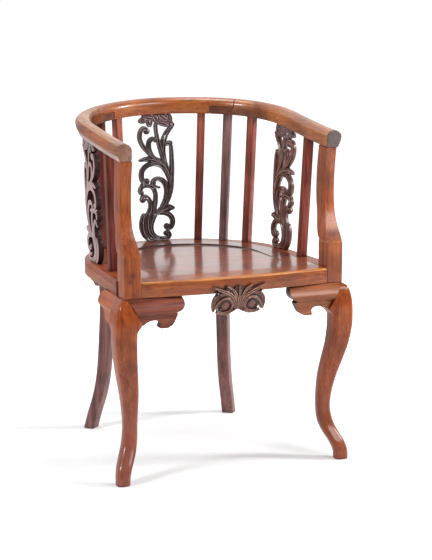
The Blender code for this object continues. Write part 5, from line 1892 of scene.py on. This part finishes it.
@dataclass
class Apron:
    """Carved drop on the front rail: leaves in a fan over two scrolled lobes."""

    # round eyes of the right-hand lobe: place across and up, radius and thickness
    EYES = ((0.032, -0.029, 0.0100, 0.0085), (0.043, -0.036, 0.0028, 0.0095))
    # leaf in the middle, given like the strokes
    MIDDLE_LEAF = (((0, -39), (0, -20), (0, 0), (0, 17)), (4, 6, 4), 9.0)

    seat: Seat
    carving: Carving
    thick: float = 0.009
    tuck: float = 0.016
    half_width: float = 0.0625
    drop: float = 0.050
    rise: float = 0.0175
    lean: float = 0.014
    ground: float = 0.0045
    shrink: float = 0.965
    clear: float = 0.02
    rubbed: float = 8.4

    @property
    def front(self) -> float:
        """Returns: the front of the carving in Y, at the leaves."""
        return -self.seat.front - self.seat.bow - GAP - self.thick

    def outline(self) -> list[Plan]:
        """Returns: the right half, in X and up from the seat's underside."""
        wide, drop, rise = self.half_width, self.drop, self.rise
        lobe = traced([(0.0, -0.80 * drop), (0.22 * wide, -0.95 * drop), (0.48 * wide, -drop),
                       (0.74 * wide, -0.86 * drop), (0.84 * wide, -0.66 * drop)], 5)
        leaf = traced([(0.96 * wide, -0.90 * drop), (wide, -0.60 * drop),
                       (0.94 * wide, -0.30 * drop), (0.78 * wide, -0.02 * drop)], 5)
        fan = [(0.84 * wide, 0.35 * rise), (1.05 * wide, 0.84 * rise), (1.01 * wide, rise),
               (0.74 * wide, 0.80 * rise), (0.54 * wide, 0.40 * rise), (0.54 * wide, rise),
               (0.42 * wide, 0.94 * rise), (0.22 * wide, 0.45 * rise), (0.13 * wide, 0.85 * rise),
               (0.0, rise)]
        return lobe + leaf + fan

    def depth(self, z: float) -> float:
        """How far the face falls back.

        Args:
            z: height from the seat's underside.
        Returns:
            The set-back in Y.
        """
        return self.lean * max(-z, 0.0) / self.drop

    def ground_body(self) -> BMesh:
        """Returns: the board that the leaves and lobes stand on."""
        right = self.outline()
        left = [(-x, z) for x, z in right[-2:0:-1]]
        under, shrink = self.seat.bottom, self.shrink
        outline = [Vector((x * shrink, self.front + self.ground, under + z * shrink))
                   for x, z in right + left]
        body = prism(outline, Vector((0.0, self.thick + self.tuck - self.ground, 0.0)))
        wide, back = 2 * self.half_width, self.front + self.thick
        far = back + 2 * self.tuck
        rebate = prism(level([(-wide, back), (wide, back), (wide, far), (-wide, far)], under - GAP),
                       Vector((0.0, 0.0, self.seat.thick)))
        low = -1.2 * self.drop
        face = [(self.ground - self.clear, 0.0), (self.ground, 0.0),
                (self.ground + 1.2 * self.lean, low), (self.ground - self.clear, low)]
        slope = prism([Vector((-wide, self.front + out, under + z)) for out, z in face],
                      Vector((2 * wide, 0.0, 0.0)))
        return shaped(body, [rebate, slope], Operation.CUT)

    def strokes(self) -> tuple[Stroke, ...]:
        """Returns: points in millimetres, three widths and the thickness, for the right half."""
        return (
            # lid and bowl of the eye, rim of the lobe and the leaf that hangs beside it
            (((60, -41), (52, -25), (42, -15), (30, -11.5), (19, -15)), (3, 6, 4), 8.5),
            (((29, -11), (18, -20), (14.5, -32), (22, -43), (38, -46), (52, -41)), (4, 7, 4), 8.5),
            (((54, -44), (42, -48), (26, -48), (12, -42), (4, -37)), (3, 5, 4), 8.0),
            (((36, -3), (49, -5), (58, -15), (61, -28), (60, -43)), (8, 10, 3), 7.0),
            # leaves of the fan, from the lowest to the highest
            (((10, -36), (12, -22), (20, -9), (32, -3), (46, -2), (55, 3)), (5, 7, 3), 8.0),
            (((6, -38), (8, -22), (16, -8), (30, 1), (47, 8), (65, 17)), (5, 9, 2), 9.0),
            (((2.5, -38), (4.5, -20), (9, -4), (18, 8), (32, 17)), (5, 8, 2), 9.0),
        )

    def build(self) -> None:
        """Builds the carved drop."""
        right = list(self.strokes())
        left = [(tuple((-x, z) for x, z in points), widths, thick)
                for points, widths, thick in right]
        parts = []
        for points, widths, thick in right + left + [self.MIDDLE_LEAF]:
            curve = [(x / MILLI, z / MILLI) for x, z in points]
            part = self.carving.stroke(curve, widths, thick / MILLI)
            if thick < self.rubbed:
                for face in part.faces:
                    face.material_index = 0
            parts.append(part)
        for sign in (1.0, -1.0):
            for x, z, radius, thick in self.EYES:
                parts.append(self.carving.knob((sign * x, z), radius, thick))
        relief = self.carving.joined(parts)
        for vert in relief.verts:
            vert.co.y += self.front + self.thick / 2 + self.depth(vert.co.z)
            vert.co.z += self.seat.bottom
        ground = self.ground_body()
        # the ground behind the leaves takes painted shade
        for face in ground.faces:
            face.material_index = BOARD
        name = "carved_drop"
        woods = [LEAF.material(name, Grain.ACROSS), SHADED_GROUND.material(name + "_ground", Grain.ACROSS),
                 PALE_TAN_RIDGE.material(name + "_ridges", Grain.ACROSS)]
        whole = self.carving.joined([ground, relief])
        publish(name, whole, woods, ("apron_carving",), sharp=CARVED_SHARP)


@dataclass
class Studio:
    """White studio: floor, surrounding light, soft lamps and the camera."""

    WHITE = (1.0, 1.0, 1.0, 1.0)
    PAPER = (0.770, 0.785, 0.790, 1.0)
    # name, place, side in metres and power in watts of each lamp, and what all of them look at
    LAMPS = (("left_box", (-2.6, -0.7, 1.9), 0.7, 57.0),
             ("right_box", (1.55, -2.4, 2.05), 1.1, 40.0),
             ("side_box", (2.5, -1.05, 1.7), 0.5, 76.0),
             ("top_box", (0.0, 0.6, 2.9), 1.0, 24.0))
    AIM = (0.0, 0.0, 0.45)
    # where mirrors see the dim room turn to the white backdrop, by the way's Y
    BACKDROP = (-0.35, 0.45)
    # distances over which the floor turns to the backdrop's white
    FLOOR_FADE = (0.30, 1.5)

    azimuth: float = -22.68203
    elevation: float = 11.09297
    distance: float = 4.02547
    focal_pixels: float = 1693.966
    image_width: int = 432
    sensor_width: float = 36.0
    target: tuple[float, float, float] = (0.05987, 0.0094, 0.39248)
    floor_size: float = 20.0
    fill: float = 0.395
    mirror: float = 1.0
    dim_room: float = 0.16
    near_glow: float = 0.13
    far_glow: float = 0.85

    def build_camera(self) -> None:
        """Sets the camera where the photograph was taken."""
        azimuth, elevation = math.radians(self.azimuth), math.radians(self.elevation)
        level_part = math.cos(elevation)
        away = Vector((math.sin(azimuth) * level_part, -math.cos(azimuth) * level_part,
                       math.sin(elevation)))
        data = bpy.data.cameras.new("camera")
        data.sensor_fit = "HORIZONTAL"
        data.sensor_width = self.sensor_width
        data.lens = self.focal_pixels * self.sensor_width / self.image_width
        camera = bpy.data.objects.new("camera", data)
        camera.location = Vector(self.target) + away * self.distance
        camera.rotation_euler = (-away).to_track_quat("-Z", "Y").to_euler()
        bpy.context.scene.collection.objects.link(camera)
        bpy.context.scene.camera = camera

    def build_world(self) -> None:
        """Surrounds the chair with white; mirrors see a white backdrop and a dim room in front."""
        world = bpy.data.worlds.new("white_room")
        bpy.context.scene.world = world
        world.use_nodes = True
        tree = world.node_tree
        path = add_node(tree, "ShaderNodeLightPath").outputs
        place = add_node(tree, "ShaderNodeTexCoord").outputs["Generated"]
        way = add_node(tree, "ShaderNodeSeparateXYZ", {0: place}).outputs["Y"]
        room = ranged(tree, way, self.BACKDROP, (self.dim_room, self.mirror))
        soft = mixed(tree, path["Is Glossy Ray"], self.fill, room, "FLOAT")
        clear = computed(tree, "MAXIMUM", path["Is Camera Ray"], path["Is Transmission Ray"])
        feed(tree, tree.nodes["Background"], {"Strength": mixed(tree, clear, soft, 1.0, "FLOAT"),
                                              "Color": self.WHITE})

    def build_floor(self) -> None:
        """A white floor that runs out of sight and keeps the chair's soft shadow."""
        bm = bmesh.new()
        bmesh.ops.create_grid(bm, x_segments=1, y_segments=1, size=self.floor_size)
        floor = holder(bm, "studio_floor")
        # white paper: matt, so that only soft shadows show on it
        paper = bpy.data.materials.new("white_paper")
        paper.use_nodes = True
        tree = paper.node_tree
        # away from the chair it turns to the backdrop's white; mirrors see a little of that
        path = add_node(tree, "ShaderNodeLightPath").outputs
        place = add_node(tree, "ShaderNodeTexCoord").outputs["Object"]
        far = add_node(tree, "ShaderNodeVectorMath", {0: place}, operation="LENGTH")
        white = ranged(tree, far.outputs["Value"], self.FLOOR_FADE, (self.near_glow, self.far_glow),
                       interpolation_type="SMOOTHSTEP")
        mirrors = computed(tree, "MAXIMUM", path["Is Glossy Ray"], path["Is Transmission Ray"])
        faint = computed(tree, "MULTIPLY", mirrors, self.near_glow)
        glow = mixed(tree, path["Is Camera Ray"], faint, white, "FLOAT")
        feed(tree, tree.nodes["Principled BSDF"], {
            "Base Color": self.PAPER, "Roughness": 1.0, "Specular IOR Level": 0.0,
            "Emission Color": self.WHITE, "Emission Strength": glow})
        floor.data.materials.append(paper)

    def build_lamps(self) -> None:
        """Hangs the soft square lamps."""
        aim = Vector(self.AIM)
        for name, place, size, power in self.LAMPS:
            data = bpy.data.lights.new(name, "AREA")
            data.shape = "SQUARE"
            data.size = size
            data.energy = power
            lamp = bpy.data.objects.new(name, data)
            lamp.location = place
            lamp.rotation_euler = (aim - Vector(place)).to_track_quat("-Z", "Y").to_euler()
            bpy.context.scene.collection.objects.link(lamp)

    def build(self) -> None:
        """Builds floor, light and camera."""
        bpy.context.scene.view_settings.view_transform = "Standard"
        self.build_world()
        self.build_floor()
        self.build_lamps()
        self.build_camera()


def main() -> None:
    """Builds the chair piece by piece, then the studio."""
    logging.basicConfig(level=logging.INFO, format="%(name)s %(message)s")
    seat, rail = Seat(), Rail()
    posts = Posts(seat, rail)
    carving = Carving()
    brackets = Brackets(seat, posts)
    legs = Legs(seat, posts)
    rail.build()
    seat.build_rims()
    seat.build_front_rail()
    seat.build_panel()
    posts.build()
    Spindles(seat, rail).build()
    Splats(seat, rail, carving, Carving(groove=0.0, ridge=2.0, dome=14.0, sawn=True)).build()
    legs.build(brackets)
    brackets.build()
    brackets.build_ears(legs)
    Apron(seat, carving).build()
    hidden = UMBER.material("inner_pieces", Grain.ACROSS)
    for name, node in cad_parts.items():
        if name.startswith(INNER_PIECES):
            node.data.materials.clear()
            node.data.materials.append(hidden)
            LOG.info("%s: kept, with the wood of the inner pieces", name)
    Studio().build()


if __name__ == "__main__":
    main()
